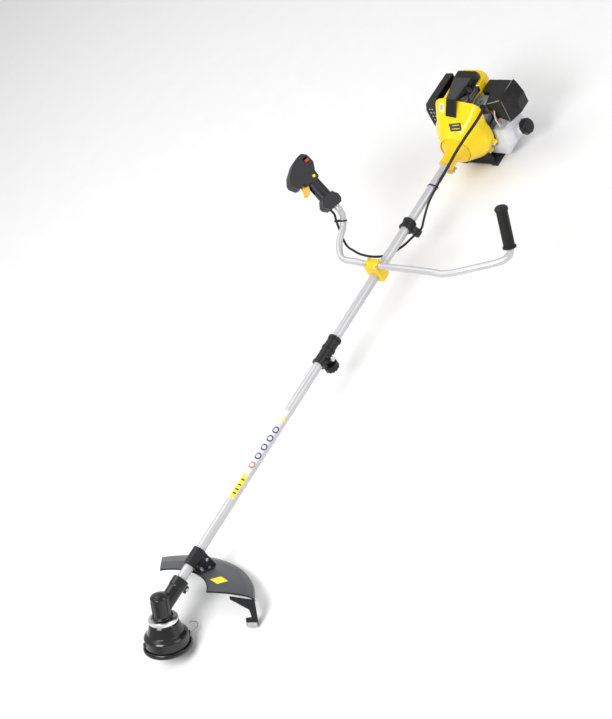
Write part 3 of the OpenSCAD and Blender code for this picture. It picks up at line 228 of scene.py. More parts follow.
class Effects:
    """Node groups that several finishes share."""

    _made: dict[str, bpy.types.NodeTree] = {}

    @classmethod
    def _start(
        cls, name: str, numbers: dict[str, float], outputs: list[str]
    ) -> tuple[bpy.types.NodeTree, bpy.types.Node, bpy.types.Node]:
        """Make an empty group with a Vector input, named number inputs and number outputs.

        Args:
            name: Name of the group.
            numbers: Name and default of each number input.
            outputs: Names of the outputs.

        Returns:
            The group, its input node and its output node.
        """
        tree = bpy.data.node_groups.new(name, "ShaderNodeTree")
        tree.interface.new_socket("Vector", in_out="INPUT", socket_type="NodeSocketVector")
        for key, value in numbers.items():
            made = tree.interface.new_socket(key, in_out="INPUT", socket_type="NodeSocketFloat")
            made.default_value = value
        for key in outputs:
            tree.interface.new_socket(key, in_out="OUTPUT", socket_type="NodeSocketFloat")
        return tree, tree.nodes.new("NodeGroupInput"), tree.nodes.new("NodeGroupOutput")

    @classmethod
    def grain(cls) -> bpy.types.NodeTree:
        """Fine surface grain over a slow change of shade: Shade and Height.

        Returns:
            The group.
        """
        if "grain" not in cls._made:
            tree, given, out = cls._start("Surface grain", {"Scale": 900.0}, ["Shade", "Height"])
            fine = tree.nodes.new("ShaderNodeTexNoise")
            fine.inputs["Detail"].default_value = 3.0
            slow = tree.nodes.new("ShaderNodeTexNoise")
            slow.inputs["Scale"].default_value = 14.0
            slow.inputs["Detail"].default_value = 4.0
            both = tree.nodes.new("ShaderNodeMath")
            both.operation = "MULTIPLY_ADD"
            both.inputs[1].default_value = 0.35
            tree.links.new(given.outputs["Vector"], fine.inputs["Vector"])
            tree.links.new(given.outputs["Scale"], fine.inputs["Scale"])
            tree.links.new(given.outputs["Vector"], slow.inputs["Vector"])
            tree.links.new(fine.outputs["Fac"], both.inputs[0])
            tree.links.new(slow.outputs["Fac"], both.inputs[2])
            tree.links.new(both.outputs[0], out.inputs["Shade"])
            tree.links.new(fine.outputs["Fac"], out.inputs["Height"])
            cls._made["grain"] = tree
        return cls._made["grain"]

    @classmethod
    def scuffs(cls) -> bpy.types.NodeTree:
        """Sparse handling marks, stretched as scratches are: Mask.

        Returns:
            The group.
        """
        if "scuffs" not in cls._made:
            tree, given, out = cls._start("Handling scuffs", {"Amount": 0.2}, ["Mask"])
            stretch = tree.nodes.new("ShaderNodeMapping")
            stretch.inputs["Scale"].default_value = (18.0, 120.0, 60.0)
            stretch.inputs["Rotation"].default_value = (0.4, 0.3, 0.7)
            marks = tree.nodes.new("ShaderNodeTexNoise")
            marks.inputs["Scale"].default_value = 2.0
            marks.inputs["Detail"].default_value = 6.0
            cut = tree.nodes.new("ShaderNodeMapRange")
            cut.inputs["From Min"].default_value = 0.6
            cut.inputs["From Max"].default_value = 0.72
            scale = tree.nodes.new("ShaderNodeMath")
            scale.operation = "MULTIPLY"
            tree.links.new(given.outputs["Vector"], stretch.inputs["Vector"])
            tree.links.new(stretch.outputs[0], marks.inputs["Vector"])
            tree.links.new(marks.outputs["Fac"], cut.inputs["Value"])
            tree.links.new(cut.outputs[0], scale.inputs[0])
            tree.links.new(given.outputs["Amount"], scale.inputs[1])
            tree.links.new(scale.outputs[0], out.inputs["Mask"])
            cls._made["scuffs"] = tree
        return cls._made["scuffs"]

    @classmethod
    def dust(cls) -> bpy.types.NodeTree:
        """A light settling of dust on what faces up: Mask.

        Returns:
            The group.
        """
        if "dust" not in cls._made:
            tree, given, out = cls._start("Settled dust", {"Amount": 0.1}, ["Mask"])
            facing = tree.nodes.new("ShaderNodeNewGeometry")
            split = tree.nodes.new("ShaderNodeSeparateXYZ")
            patch = tree.nodes.new("ShaderNodeTexNoise")
            patch.inputs["Scale"].default_value = 40.0
            patch.inputs["Detail"].default_value = 5.0
            up = tree.nodes.new("ShaderNodeMapRange")
            up.inputs["From Min"].default_value = 0.2
            both = tree.nodes.new("ShaderNodeMath")
            both.operation = "MULTIPLY"
            scale = tree.nodes.new("ShaderNodeMath")
            scale.operation = "MULTIPLY"
            tree.links.new(given.outputs["Vector"], patch.inputs["Vector"])
            tree.links.new(facing.outputs["Normal"], split.inputs[0])
            tree.links.new(split.outputs["Z"], up.inputs["Value"])
            tree.links.new(up.outputs[0], both.inputs[0])
            tree.links.new(patch.outputs["Fac"], both.inputs[1])
            tree.links.new(both.outputs[0], scale.inputs[0])
            tree.links.new(given.outputs["Amount"], scale.inputs[1])
            tree.links.new(scale.outputs[0], out.inputs["Mask"])
            cls._made["dust"] = tree
        return cls._made["dust"]


@dataclass(frozen=True)
class Finish:
    """A plain moulded, painted or machined surface.

    Attributes:
        name: Name of the material.
        colour: Main colour.
        shade: Colour that the grain mixes in.
        rough: Mean roughness.
        uneven: How far the grain changes the roughness.
        metal: 1 for bare metal, else 0.
        grain: Scale of the grain, in cells per metre.
        relief: Height of the grain, in millimetres.
        scuffed: Strength of the handling marks.
        scuff: Colour of the marks.
        dusty: Strength of the settled dust.
        coat: Weight of the clear coat.
        edge: Radius that sharp edges look rounded by, in millimetres.
        inside: Subsurface weight, for milky plastics.
        shine: Strength of the mirror-like reflection of what isn't metal.
    """

    name: str
    colour: Colour
    shade: Colour
    rough: float = 0.4
    uneven: float = 0.1
    metal: float = 0.0
    grain: float = 900.0
    relief: float = 0.02
    scuffed: float = 0.15
    scuff: Colour = (0.5, 0.5, 0.5)
    dusty: float = 0.05
    coat: float = 0.0
    edge: float = 0.5
    inside: float = 0.0
    shine: float = 0.5

    def make(self) -> bpy.types.Material:
        """Build the material once, and give the same one afterwards.

        Returns:
            The material.
        """
        found = bpy.data.materials.get(self.name)
        if found:
            return found
        material = bpy.data.materials.new(self.name)
        material.use_nodes = True
        self.wire(material.node_tree)
        return material

    def wire(self, tree: bpy.types.NodeTree) -> None:
        """Place and link the nodes of the material.

        Args:
            tree: The material's own node tree, with its default nodes.
        """
        new, link = tree.nodes.new, tree.links.new
        shader = tree.nodes["Principled BSDF"]
        shader.inputs["Metallic"].default_value = self.metal
        shader.inputs["Coat Weight"].default_value = self.coat
        shader.inputs["Coat Roughness"].default_value = 0.12
        shader.inputs["Specular IOR Level"].default_value = self.shine
        if self.inside:
            shader.inputs["Subsurface Weight"].default_value = self.inside
            shader.inputs["Subsurface Radius"].default_value = (0.006, 0.006, 0.006)
        place = new("ShaderNodeTexCoord").outputs["Object"]
        groups = []
        for effect, key, value in (
            (Effects.grain(), "Scale", self.grain),
            (Effects.scuffs(), "Amount", self.scuffed),
            (Effects.dust(), "Amount", self.dusty),
        ):
            group = new("ShaderNodeGroup")
            group.node_tree = effect
            group.inputs[key].default_value = value
            link(place, group.inputs["Vector"])
            groups.append(group)
        grain, scuffs, dust = groups
        spread = new("ShaderNodeMapRange")
        spread.inputs["From Min"].default_value = 0.4
        spread.inputs["From Max"].default_value = 0.95
        link(grain.outputs["Shade"], spread.inputs["Value"])
        colour = self.mixed(tree, spread.outputs[0], self.colour, self.shade)
        colour = self.pattern(tree, place, colour)
        colour = self.over(tree, scuffs.outputs["Mask"], colour, self.scuff)
        colour = self.over(tree, dust.outputs["Mask"], colour, DUST_COLOUR)
        link(colour, shader.inputs["Base Color"])
        rough = new("ShaderNodeMapRange")
        rough.inputs["To Min"].default_value = self.rough - self.uneven / 2
        rough.inputs["To Max"].default_value = self.rough + self.uneven / 2
        link(spread.outputs[0], rough.inputs["Value"])
        rougher = new("ShaderNodeMath")
        rougher.operation = "MULTIPLY_ADD"
        rougher.use_clamp = True
        rougher.inputs[1].default_value = 0.3
        link(scuffs.outputs["Mask"], rougher.inputs[0])
        link(rough.outputs[0], rougher.inputs[2])
        link(rougher.outputs[0], shader.inputs["Roughness"])
        rounded = new("ShaderNodeBevel")
        rounded.samples = 4
        rounded.inputs["Radius"].default_value = self.edge * MM
        bump = new("ShaderNodeBump")
        bump.inputs["Strength"].default_value = 0.6
        bump.inputs["Distance"].default_value = self.relief * MM
        link(self.height(tree, place, grain.outputs["Height"]), bump.inputs["Height"])
        link(rounded.outputs[0], bump.inputs["Normal"])
        link(bump.outputs[0], shader.inputs["Normal"])

    @staticmethod
    def mixed(
        tree: bpy.types.NodeTree, mask: bpy.types.NodeSocket, low: Colour, high: Colour
    ) -> bpy.types.NodeSocket:
        """Mix two constant colours by a mask.

        Args:
            tree: The material's node tree.
            mask: The share of the second colour.
            low: Colour where the mask is 0.
            high: Colour where the mask is 1.

        Returns:
            The mixed colour.
        """
        node = tree.nodes.new("ShaderNodeMix")
        node.data_type = "RGBA"
        node.inputs["A"].default_value = (*low, 1.0)
        node.inputs["B"].default_value = (*high, 1.0)
        tree.links.new(mask, node.inputs["Factor"])
        return node.outputs["Result"]

    @staticmethod
    def over(
        tree: bpy.types.NodeTree,
        mask: bpy.types.NodeSocket,
        under: bpy.types.NodeSocket,
        colour: Colour,
    ) -> bpy.types.NodeSocket:
        """Lay a constant colour over another one where a mask says.

        Args:
            tree: The material's node tree.
            mask: Where the constant colour shows.
            under: The colour below.
            colour: The constant colour.

        Returns:
            The mixed colour.
        """
        node = tree.nodes.new("ShaderNodeMix")
        node.data_type = "RGBA"
        node.inputs["B"].default_value = (*colour, 1.0)
        tree.links.new(under, node.inputs["A"])
        tree.links.new(mask, node.inputs["Factor"])
        return node.outputs["Result"]

    def pattern(
        self, tree: bpy.types.NodeTree, place: bpy.types.NodeSocket, colour: bpy.types.NodeSocket
    ) -> bpy.types.NodeSocket:
        """Give the colour with the finish's own pattern in it; a plain finish has none."""
        return colour

    def height(
        self, tree: bpy.types.NodeTree, place: bpy.types.NodeSocket, grain: bpy.types.NodeSocket
    ) -> bpy.types.NodeSocket:
        """Give the height that the bump reads; a plain finish has only its grain."""
        return grain


@dataclass(frozen=True)
class TurnedFinish(Finish):
    """Metal with the fine rings of a lathe about the trimmer head's axis."""

    pitch: float = 0.6

    def height(
        self, tree: bpy.types.NodeTree, place: bpy.types.NodeSocket, grain: bpy.types.NodeSocket
    ) -> bpy.types.NodeSocket:
        """Give rings about the head's axis, with the grain over them.

        Args:
            tree: The material's node tree.
            place: Object coordinates.
            grain: Height of the grain.

        Returns:
            The height.
        """
        centre = tree.nodes.new("ShaderNodeMapping")
        centre.vector_type = "TEXTURE"
        centre.inputs["Location"].default_value = GEAR_CENTRE * MM
        centre.inputs["Rotation"].default_value = (0.0, HEAD_TILT, 0.0)
        rings = tree.nodes.new("ShaderNodeTexWave")
        rings.wave_type = "RINGS"
        rings.rings_direction = "Z"
        rings.inputs["Scale"].default_value = 0.3 / (self.pitch * MM)
        both = tree.nodes.new("ShaderNodeMath")
        both.operation = "ADD"
        tree.links.new(place, centre.inputs["Vector"])
        tree.links.new(centre.outputs[0], rings.inputs["Vector"])
        tree.links.new(rings.outputs["Fac"], both.inputs[0])
        tree.links.new(grain, both.inputs[1])
        return both.outputs[0]


@dataclass(frozen=True)
class TankFinish(Finish):
    """Milky blown plastic, a little darker where fuel stands behind it."""

    level: float = -40.0
    blend: float = 2.0

    def pattern(
        self, tree: bpy.types.NodeTree, place: bpy.types.NodeSocket, colour: bpy.types.NodeSocket
    ) -> bpy.types.NodeSocket:
        """Darken the colour below the fuel's level.

        Args:
            tree: The material's node tree.
            place: Object coordinates.
            colour: The plastic's own colour.

        Returns:
            The colour.
        """
        split = tree.nodes.new("ShaderNodeSeparateXYZ")
        below = tree.nodes.new("ShaderNodeMapRange")
        level = on_shaft(0.0, 0.0, self.level).z
        below.inputs["From Min"].default_value = level + self.blend * MM
        below.inputs["From Max"].default_value = level - self.blend * MM
        below.inputs["To Max"].default_value = 0.35
        tree.links.new(place, split.inputs[0])
        tree.links.new(split.outputs["Z"], below.inputs["Value"])
        return self.over(tree, below.outputs[0], colour, FUEL_COLOUR)


TUBE_PAINT = Finish(
    "Silver tube enamel", (0.50, 0.50, 0.515), (0.57, 0.57, 0.585), 0.30, 0.08, 0.25, 1600.0,
    0.006, 0.08, (0.33, 0.33, 0.34), 0.01, 0.3, 0.4,
)
BUSH = Finish("Bush nylon", (0.05, 0.05, 0.05), (0.08, 0.08, 0.08), 0.5)
GLOSS_BLACK = Finish(
    "Gloss black casting paint", (0.004, 0.004, 0.005), (0.010, 0.010, 0.011), 0.20, 0.10, 0.0,
    500.0, 0.05, 0.08, (0.07, 0.07, 0.07), 0.01, 0.3, 0.8, 0.0, 0.35,
)
GUARD_GREY = Finish(
    "Guard moulding", (0.050, 0.053, 0.062), (0.066, 0.069, 0.079), 0.38, 0.14, 0.0, 1200.0, 0.02,
    0.20, (0.13, 0.13, 0.14), 0.03, 0.0, 0.5, 0.0, 0.35,
)
SATIN_BLACK = Finish(
    "Satin black moulding", (0.005, 0.005, 0.006), (0.012, 0.012, 0.014), 0.32, 0.14, 0.0, 1500.0,
    0.025, 0.12, (0.05, 0.05, 0.052), 0.015, 0.0, 0.5, 0.0, 0.3,
)
GRIP_BLACK = Finish(
    "Grip moulding", (0.012, 0.012, 0.014), (0.022, 0.022, 0.026), 0.42, 0.12, 0.0, 1300.0, 0.035,
    0.14, (0.07, 0.07, 0.073), 0.02, 0.0, 0.5, 0.0, 0.3,
)
HEAT_BLACK = Finish(
    "Heat-proof black paint", (0.005, 0.005, 0.005), (0.012, 0.012, 0.011), 0.40, 0.16, 0.0, 700.0,
    0.03, 0.12, (0.06, 0.055, 0.05), 0.02, 0.0, 0.5, 0.0, 0.3,
)
STEEL = Finish(
    "Machined steel", (0.52, 0.52, 0.53), (0.66, 0.66, 0.67), 0.30, 0.12, 1.0, 2400.0, 0.006, 0.10,
    (0.35, 0.34, 0.33), 0.0, 0.0, 0.3,
)
ZINC = Finish(
    "Plated screws", (0.62, 0.62, 0.63), (0.75, 0.75, 0.76), 0.28, 0.10, 1.0, 1800.0, 0.006, 0.05,
    (0.4, 0.4, 0.4), 0.0, 0.0, 0.3,
)
TURNED_ALLOY = TurnedFinish(
    "Turned alloy", (0.72, 0.72, 0.73), (0.82, 0.82, 0.83), 0.32, 0.10, 1.0, 1800.0, 0.02, 0.12,
    (0.5, 0.5, 0.5), 0.0, 0.0, 0.4,
)
CAST_ALLOY = Finish(
    "Cast alloy", (0.42, 0.42, 0.43), (0.58, 0.58, 0.59), 0.5, 0.16, 1.0, 700.0, 0.10, 0.15,
    (0.25, 0.24, 0.23), 0.05, 0.0, 0.6,
)
LINE = Finish(
    "Cutting line nylon", (0.32, 0.32, 0.31), (0.42, 0.42, 0.41), 0.30, 0.08, 0.0, 3000.0, 0.01,
    0.05, (0.4, 0.4, 0.4), 0.0, 0.0, 0.1,
)
YELLOW_PAINT = Finish(
    "Yellow casting paint", (0.84, 0.53, 0.001), (0.92, 0.62, 0.002), 0.30, 0.12, 0.0, 600.0, 0.05,
    0.10, (0.5, 0.32, 0.02), 0.01, 0.25, 0.7, 0.0, 0.3,
)
YELLOW = Finish(
    "Yellow moulding", (0.92, 0.62, 0.001), (0.96, 0.70, 0.002), 0.24, 0.08, 0.0, 900.0, 0.012,
    0.06, (0.75, 0.5, 0.02), 0.01, 0.25, 0.7, 0.0, 0.3,
)
AMBER = Finish(
    "Amber trigger moulding", (0.85, 0.42, 0.003), (0.92, 0.52, 0.006), 0.28, 0.08, 0.0, 900.0,
    0.012, 0.10, (0.6, 0.4, 0.1), 0.02, 0.3, 0.5, 0.05,
)
RED = Finish(
    "Red moulding", (0.36, 0.012, 0.010), (0.45, 0.022, 0.018), 0.34, 0.10, 0.0, 900.0, 0.015, 0.12,
    (0.5, 0.1, 0.08), 0.02,
)
RUBBER = Finish(
    "Grip rubber", (0.006, 0.006, 0.006), (0.013, 0.013, 0.013), 0.50, 0.14, 0.0, 1200.0, 0.05,
    0.12, (0.05, 0.05, 0.05), 0.02, 0.0, 0.4, 0.0, 0.3,
)
CONDUIT = Finish(
    "Conduit rubber", (0.009, 0.009, 0.010), (0.018, 0.018, 0.020), 0.40, 0.12, 0.0, 1400.0, 0.03,
    0.12, (0.06, 0.06, 0.06), 0.02, 0.0, 0.4, 0.0, 0.3,
)
TANK = TankFinish(
    "Milky tank", (0.66, 0.66, 0.69), (0.72, 0.72, 0.76), 0.33, 0.10, 0.0, 400.0, 0.03, 0.06,
    (0.6, 0.6, 0.6), 0.01, 0.0, 0.5, 0.15, 0.4,
)
REEL = Finish("Reel nylon", (0.60, 0.60, 0.57), (0.68, 0.68, 0.65), 0.4)
HOSE = Finish(
    "Fuel hose", (0.42, 0.10, 0.08), (0.55, 0.20, 0.16), 0.30, 0.10, 0.0, 900.0, 0.01, 0.05,
    (0.5, 0.3, 0.3), 0.0, 0.2, 0.2, 0.2,
)
LABEL_WHITE = Finish(
    "White label film", (0.64, 0.64, 0.66), (0.70, 0.70, 0.72), 0.35, 0.06, 0.0, 1500.0, 0.004,
    0.08, (0.6, 0.6, 0.6), 0.02, 0.2, 0.1,
)
# Painted light: pale colour for the discs in the muffler guard's holes, standing in for the light seen
# through them.
HOLE_LIGHT_PAINT = Finish(
    "Painted light in holes", (0.62, 0.62, 0.62), (0.72, 0.72, 0.72), 0.5, 0.1, 0.0, 2500.0, 0.02,
)
LABEL_GREY = Finish(
    "Grey label print", (0.42, 0.43, 0.45), (0.50, 0.51, 0.53), 0.35, 0.06, 0.0, 1500.0, 0.004,
)
LABEL_BLUE = Finish(
    "Blue label print", (0.03, 0.04, 0.20), (0.05, 0.06, 0.26), 0.35, 0.06, 0.0, 1500.0, 0.004,
)
LABEL_RED = Finish(
    "Red label print", (0.55, 0.16, 0.16), (0.62, 0.24, 0.24), 0.35, 0.06, 0.0, 1500.0, 0.004,
)
LABEL_PALE = Finish(
    "Pale label film", (0.80, 0.76, 0.42), (0.86, 0.82, 0.50), 0.35, 0.06, 0.0, 1500.0, 0.004,
)
LABEL_YELLOW = Finish(
    "Yellow label print", (0.90, 0.70, 0.01), (0.94, 0.76, 0.02), 0.35, 0.06, 0.0, 1500.0, 0.004,
)
LABEL_BLACK = Finish(
    "Black label print", (0.012, 0.012, 0.013), (0.02, 0.02, 0.022), 0.32, 0.06, 0.0, 1500.0, 0.004,
)
# Painted highlight: grey for the rods that stand in for the shine along the air filter's edges.
EDGE_HIGHLIGHT_PAINT = Finish(
    "Painted edge highlight", (0.28, 0.28, 0.31), (0.36, 0.36, 0.39), 0.30, 0.10, 0.0, 1500.0, 0.01,
)

SLOT_FINISH: dict[Slot, Finish] = {
    Slot.TUBE: TUBE_PAINT,
    Slot.BUSH: BUSH,
    Slot.CASTING: GLOSS_BLACK,
    Slot.GUARD: GUARD_GREY,
    Slot.BLACK: SATIN_BLACK,
    Slot.SHEET: HEAT_BLACK,
    Slot.STEEL: STEEL,
    Slot.BRIGHT: TURNED_ALLOY,
    Slot.ALLOY: CAST_ALLOY,
    Slot.LINE: LINE,
    Slot.YELLOW_METAL: YELLOW_PAINT,
    Slot.YELLOW: YELLOW,
    Slot.RUBBER: RUBBER,
    Slot.RED: RED,
    Slot.CONDUIT: CONDUIT,
    Slot.TANK: TANK,
    Slot.REEL: REEL,
}


# ---- Mesh work ----


class Bench:
    """Blender's own mesh operators, used on one object at a time."""

    @staticmethod
    def only(*objects: bpy.types.Object) -> None:
        """Select these objects alone, with the first one active.

        Args:
            *objects: The objects.
        """
        bpy.ops.object.select_all(action="DESELECT")
        for item in objects:
            item.select_set(True)
        bpy.context.view_layer.objects.active = objects[0]

    @staticmethod
    def edit(item: bpy.types.Object, select: str = "SELECT") -> None:
        """Open an object in edit mode with all of it selected, or none.

        Args:
            item: The object.
            select: SELECT for all of it, DESELECT for none.
        """
        Bench.only(item)
        bpy.ops.object.mode_set(mode="EDIT")
        bpy.ops.mesh.select_all(action=select)

    @staticmethod
    def leave() -> None:
        """Go back to object mode."""
        bpy.ops.object.mode_set(mode="OBJECT")

    @staticmethod
    def apply(item: bpy.types.Object, kind: str, **settings: object) -> None:
        """Add one modifier with these settings and apply it.

        Args:
            item: The object to change.
            kind: The modifier's type.
            **settings: Its properties.
        """
        Bench.only(item)
        modifier = item.modifiers.new(kind.title(), kind)
        for key, value in settings.items():
            setattr(modifier, key, value)
        bpy.ops.object.modifier_apply(modifier=modifier.name)

    @staticmethod
    def place(item: bpy.types.Object, matrix: Matrix) -> bpy.types.Object:
        """Put a new object where the matrix says, with its place in its mesh.

        Args:
            item: The object.
            matrix: Its place.

        Returns:
            The object.
        """
        item.matrix_world = matrix @ item.matrix_world
        Bench.only(item)
        bpy.ops.object.transform_apply(location=True, rotation=True, scale=True)
        return item

    @staticmethod
    def smooth(item: bpy.types.Object, angle: float = 35.0) -> None:
        """Shade smooth, apart from edges sharper than the angle in degrees."""
        Bench.only(item)
        bpy.ops.object.shade_smooth_by_angle(angle=math.radians(angle))

    @staticmethod
    def copy_of(node: str, name: str) -> bpy.types.Object:
        """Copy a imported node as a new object, with its loose triangles merged.

        Args:
            node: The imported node.
            name: Name of the copy.

        Returns:
            The copy.
        """
        source = frame["nodes"][node]
        item = bpy.data.objects.new(name, source.data.copy())
        bpy.context.scene.collection.objects.link(item)
        item.data.materials.clear()
        Bench.edit(item)
        bpy.ops.mesh.remove_doubles(threshold=0.01 * MM)
        Bench.leave()
        return item

    @staticmethod
    def moulded(
        node: str, name: str, voxel: float, rounds: int = 4, share: float = 1.0
    ) -> bpy.types.Object:
        """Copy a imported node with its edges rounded, as a mould leaves them.

        Args:
            node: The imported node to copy.
            name: Name of the new object.
            voxel: Size of the new mesh's cells, in millimetres.
            rounds: How often the mesh is smoothed.
            share: Share of the faces that is kept.

        Returns:
            The new object.
        """
        item = Bench.copy_of(node, name)
        Bench.apply(item, "REMESH", mode="VOXEL", voxel_size=voxel * MM, adaptivity=0.0)
        if rounds:
            Bench.apply(item, "SMOOTH", factor=0.5, iterations=rounds)
        if share < 1.0:
            Bench.apply(item, "DECIMATE", ratio=share)
        Bench.smooth(item, 60.0)
        return item

    @staticmethod
    def turned(
        name: str, profile: Outline, matrix: Matrix, sides: int = 64
    ) -> bpy.types.Object:
        """Turn a closed body about Z, by extruding a circle along its profile.

        Args:
            name: Name of the new object.
            profile: Radius and height of each step, in millimetres, from one end to the other.
            matrix: Where the body goes.
            sides: Number of sides.

        Returns:
            The new object.
        """
        radius, height = profile[0]
        bpy.ops.object.select_all(action="DESELECT")
        bpy.ops.mesh.primitive_circle_add(
            vertices=sides, radius=radius * MM, location=(0.0, 0.0, height * MM)
        )
        item = bpy.context.active_object
        item.name = item.data.name = name
        bpy.ops.object.transform_apply(location=True, rotation=True, scale=True)
        Bench.edit(item)
        for after, level in profile[1:]:
            bpy.ops.mesh.extrude_region_move(
                TRANSFORM_OT_translate={"value": (0.0, 0.0, (level - height) * MM)}
            )
            if after != radius:
                scale = after / radius
                bpy.ops.transform.resize(
                    value=(scale, scale, 1.0), center_override=(0.0, 0.0, level * MM)
                )
            radius, height = after, level
        bpy.ops.mesh.select_all(action="SELECT")
        bpy.ops.mesh.fill_holes(sides=0)
        bpy.ops.mesh.select_all(action="SELECT")
        bpy.ops.mesh.normals_make_consistent(inside=False)
        Bench.leave()
        Bench.place(item, matrix)
        Bench.smooth(item, 32.0)
        return item

    @staticmethod
    def block(
        name: str, size: tuple[float, float, float], matrix: Matrix, bevel: float = 0.5
    ) -> bpy.types.Object:
        """Make a block with rounded edges.

        Args:
            name: Name of the new object.
            size: Its sides, in millimetres.
            matrix: Where its middle goes.
            bevel: Radius of its edges, in millimetres.

        Returns:
            The new object.
        """
        bpy.ops.object.select_all(action="DESELECT")
        bpy.ops.mesh.primitive_cube_add(size=1.0)
        item = bpy.context.active_object
        item.name = item.data.name = name
        item.scale = Vector(size) * MM
        bpy.ops.object.transform_apply(location=True, rotation=True, scale=True)
        Bench.apply(item, "BEVEL", width=bevel * MM, segments=3)
        Bench.place(item, matrix)
        Bench.smooth(item, 40.0)
        return item

    @staticmethod
    def plate(
        name: str, outline: Outline, matrix: Matrix, cuts: int = 5
    ) -> bpy.types.Object:
        """Make a flat face with a given outline, subdivided so that it can follow a surface.

        Args:
            name: Name of the new object.
            outline: Corners in millimetres, in order.
            matrix: Where the outline's plane goes, with +Z as its outer side.
            cuts: Number of subdivisions.

        Returns:
            The new object.
        """
        mesh = bpy.data.meshes.new(name)
        corners = [(x * MM, y * MM, 0.0) for x, y in outline]
        mesh.from_pydata(corners, [], [list(range(len(corners)))])
        item = bpy.data.objects.new(name, mesh)
        bpy.context.scene.collection.objects.link(item)
        Bench.edit(item)
        if len(corners) > 4:
            bpy.ops.mesh.quads_convert_to_tris()
        bpy.ops.mesh.subdivide(number_cuts=cuts)
        Bench.leave()
        return Bench.place(item, matrix)

    @staticmethod
    def stick(
        item: bpy.types.Object, under: bpy.types.Object, lift: float, thick: float = 0.25
    ) -> bpy.types.Object:
        """Lay a plate on the surface under it and give it a thickness.

        Args:
            item: The plate.
            under: The object that it lies on.
            lift: Distance kept from the surface, in millimetres.
            thick: The plate's thickness, in millimetres.

        Returns:
            The plate.
        """
        Bench.apply(
            item, "SHRINKWRAP", target=under, wrap_method="NEAREST_SURFACEPOINT",
            wrap_mode="ABOVE_SURFACE", offset=lift * MM,
        )
        Bench.apply(item, "SOLIDIFY", thickness=thick * MM, offset=1.0)
        Bench.smooth(item, 40.0)
        return item

    @staticmethod
    def swept(
        name: str,
        route: Route,
        radius: float,
        sides: int = 6,
        swell: list[float] | None = None,
    ) -> bpy.types.Object:
        """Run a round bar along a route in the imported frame.

        Args:
            name: Name of the new object.
            route: Its centre line, in metres.
            radius: Its radius, in millimetres.
            sides: A quarter of the number of sides round it.
            swell: A factor on the radius for each point of the route.

        Returns:
            The new mesh object, closed at both ends.
        """
        curve = bpy.data.curves.new(name, "CURVE")
        curve.dimensions = "3D"
        curve.bevel_depth = radius * MM
        curve.bevel_resolution = sides
        curve.use_fill_caps = True
        line = curve.splines.new("POLY")
        line.points.add(len(route) - 1)
        for point, where, factor in zip(line.points, route, swell or [1.0] * len(route)):
            point.co = (*where, 1.0)
            point.radius = factor
        item = bpy.data.objects.new(name, curve)
        bpy.context.scene.collection.objects.link(item)
        Bench.only(item)
        bpy.ops.object.convert(target="MESH")
        item = bpy.context.active_object
        Bench.edit(item)
        bpy.ops.mesh.remove_doubles(threshold=0.001 * MM)
        bpy.ops.mesh.normals_make_consistent(inside=False)
        Bench.leave()
        Bench.smooth(item, 50.0)
        return item

    @staticmethod
    def joined(name: str, parts: list[bpy.types.Object]) -> bpy.types.Object:
        """Join objects into one.

        Args:
            name: Name of the result.
            parts: The objects; the first one takes in the others.

        Returns:
            The joined object.
        """
        Bench.only(*parts)
        bpy.ops.object.join()
        item = bpy.context.active_object
        item.name = item.data.name = name
        return item


def facing(place: Vector, normal: Vector, up: Vector) -> Matrix:
    """Give a place whose Z is a normal and whose Y leans to an upward direction.

    Args:
        place: The origin, in metres.
        normal: Direction of Z.
        up: Direction that Y leans to.

    Returns:
        The matrix.
    """
    z = normal.normalized()
    x = up.cross(z).normalized()
    y = z.cross(x)
    return Matrix.Translation(place) @ Matrix((x, y, z)).transposed().to_4x4()


def standing(place: Vector, way: Vector) -> Matrix:
    """Give a place whose Z points along a direction."""
    return Matrix.Translation(place) @ way.to_track_quat("Z", "Y").to_matrix().to_4x4()


# ---- Sub-assemblies ----


@dataclass
class SubAssembly:
    """A group of pieces that are built and dressed together."""

    body: str = "power_unit"

    def add(
        self,
        item: bpy.types.Object,
        finish: Finish,
        slot: Slot,
        body: str | None = None,
        instead_of: tuple[str, ...] = (),
    ) -> bpy.types.Object:
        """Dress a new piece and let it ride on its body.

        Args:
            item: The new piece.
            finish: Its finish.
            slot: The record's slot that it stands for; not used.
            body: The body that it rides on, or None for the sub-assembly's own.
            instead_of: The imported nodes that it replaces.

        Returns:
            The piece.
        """
        item.data.materials.clear()
        item.data.materials.append(finish.make())
        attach(item, body or self.body)
        if instead_of:
            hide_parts(*instead_of)
        log.info("%s: %d faces", item.name, len(item.data.polygons))
        return item

    def recast(
        self,
        node: str,
        finish: Finish,
        slot: Slot,
        voxel: float,
        rounds: int = 4,
        share: float = 1.0,
    ) -> bpy.types.Object:
        """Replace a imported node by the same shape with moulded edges.

        Args:
            node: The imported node.
            finish: Its finish.
            slot: The record's slot that it stands for.
            voxel: Size of the new mesh's cells, in millimetres.
            rounds: How often the mesh is smoothed.
            share: Share of the faces that is kept.

        Returns:
            The new piece.
        """
        body = body_of(frame["nodes"][node])[0]
        item = Bench.moulded(node, node + "_cast", voxel, rounds, share)
        return self.add(item, finish, slot, body, (node,))

    def build(self) -> None:
        """Build the sub-assembly's pieces."""
        raise NotImplementedError


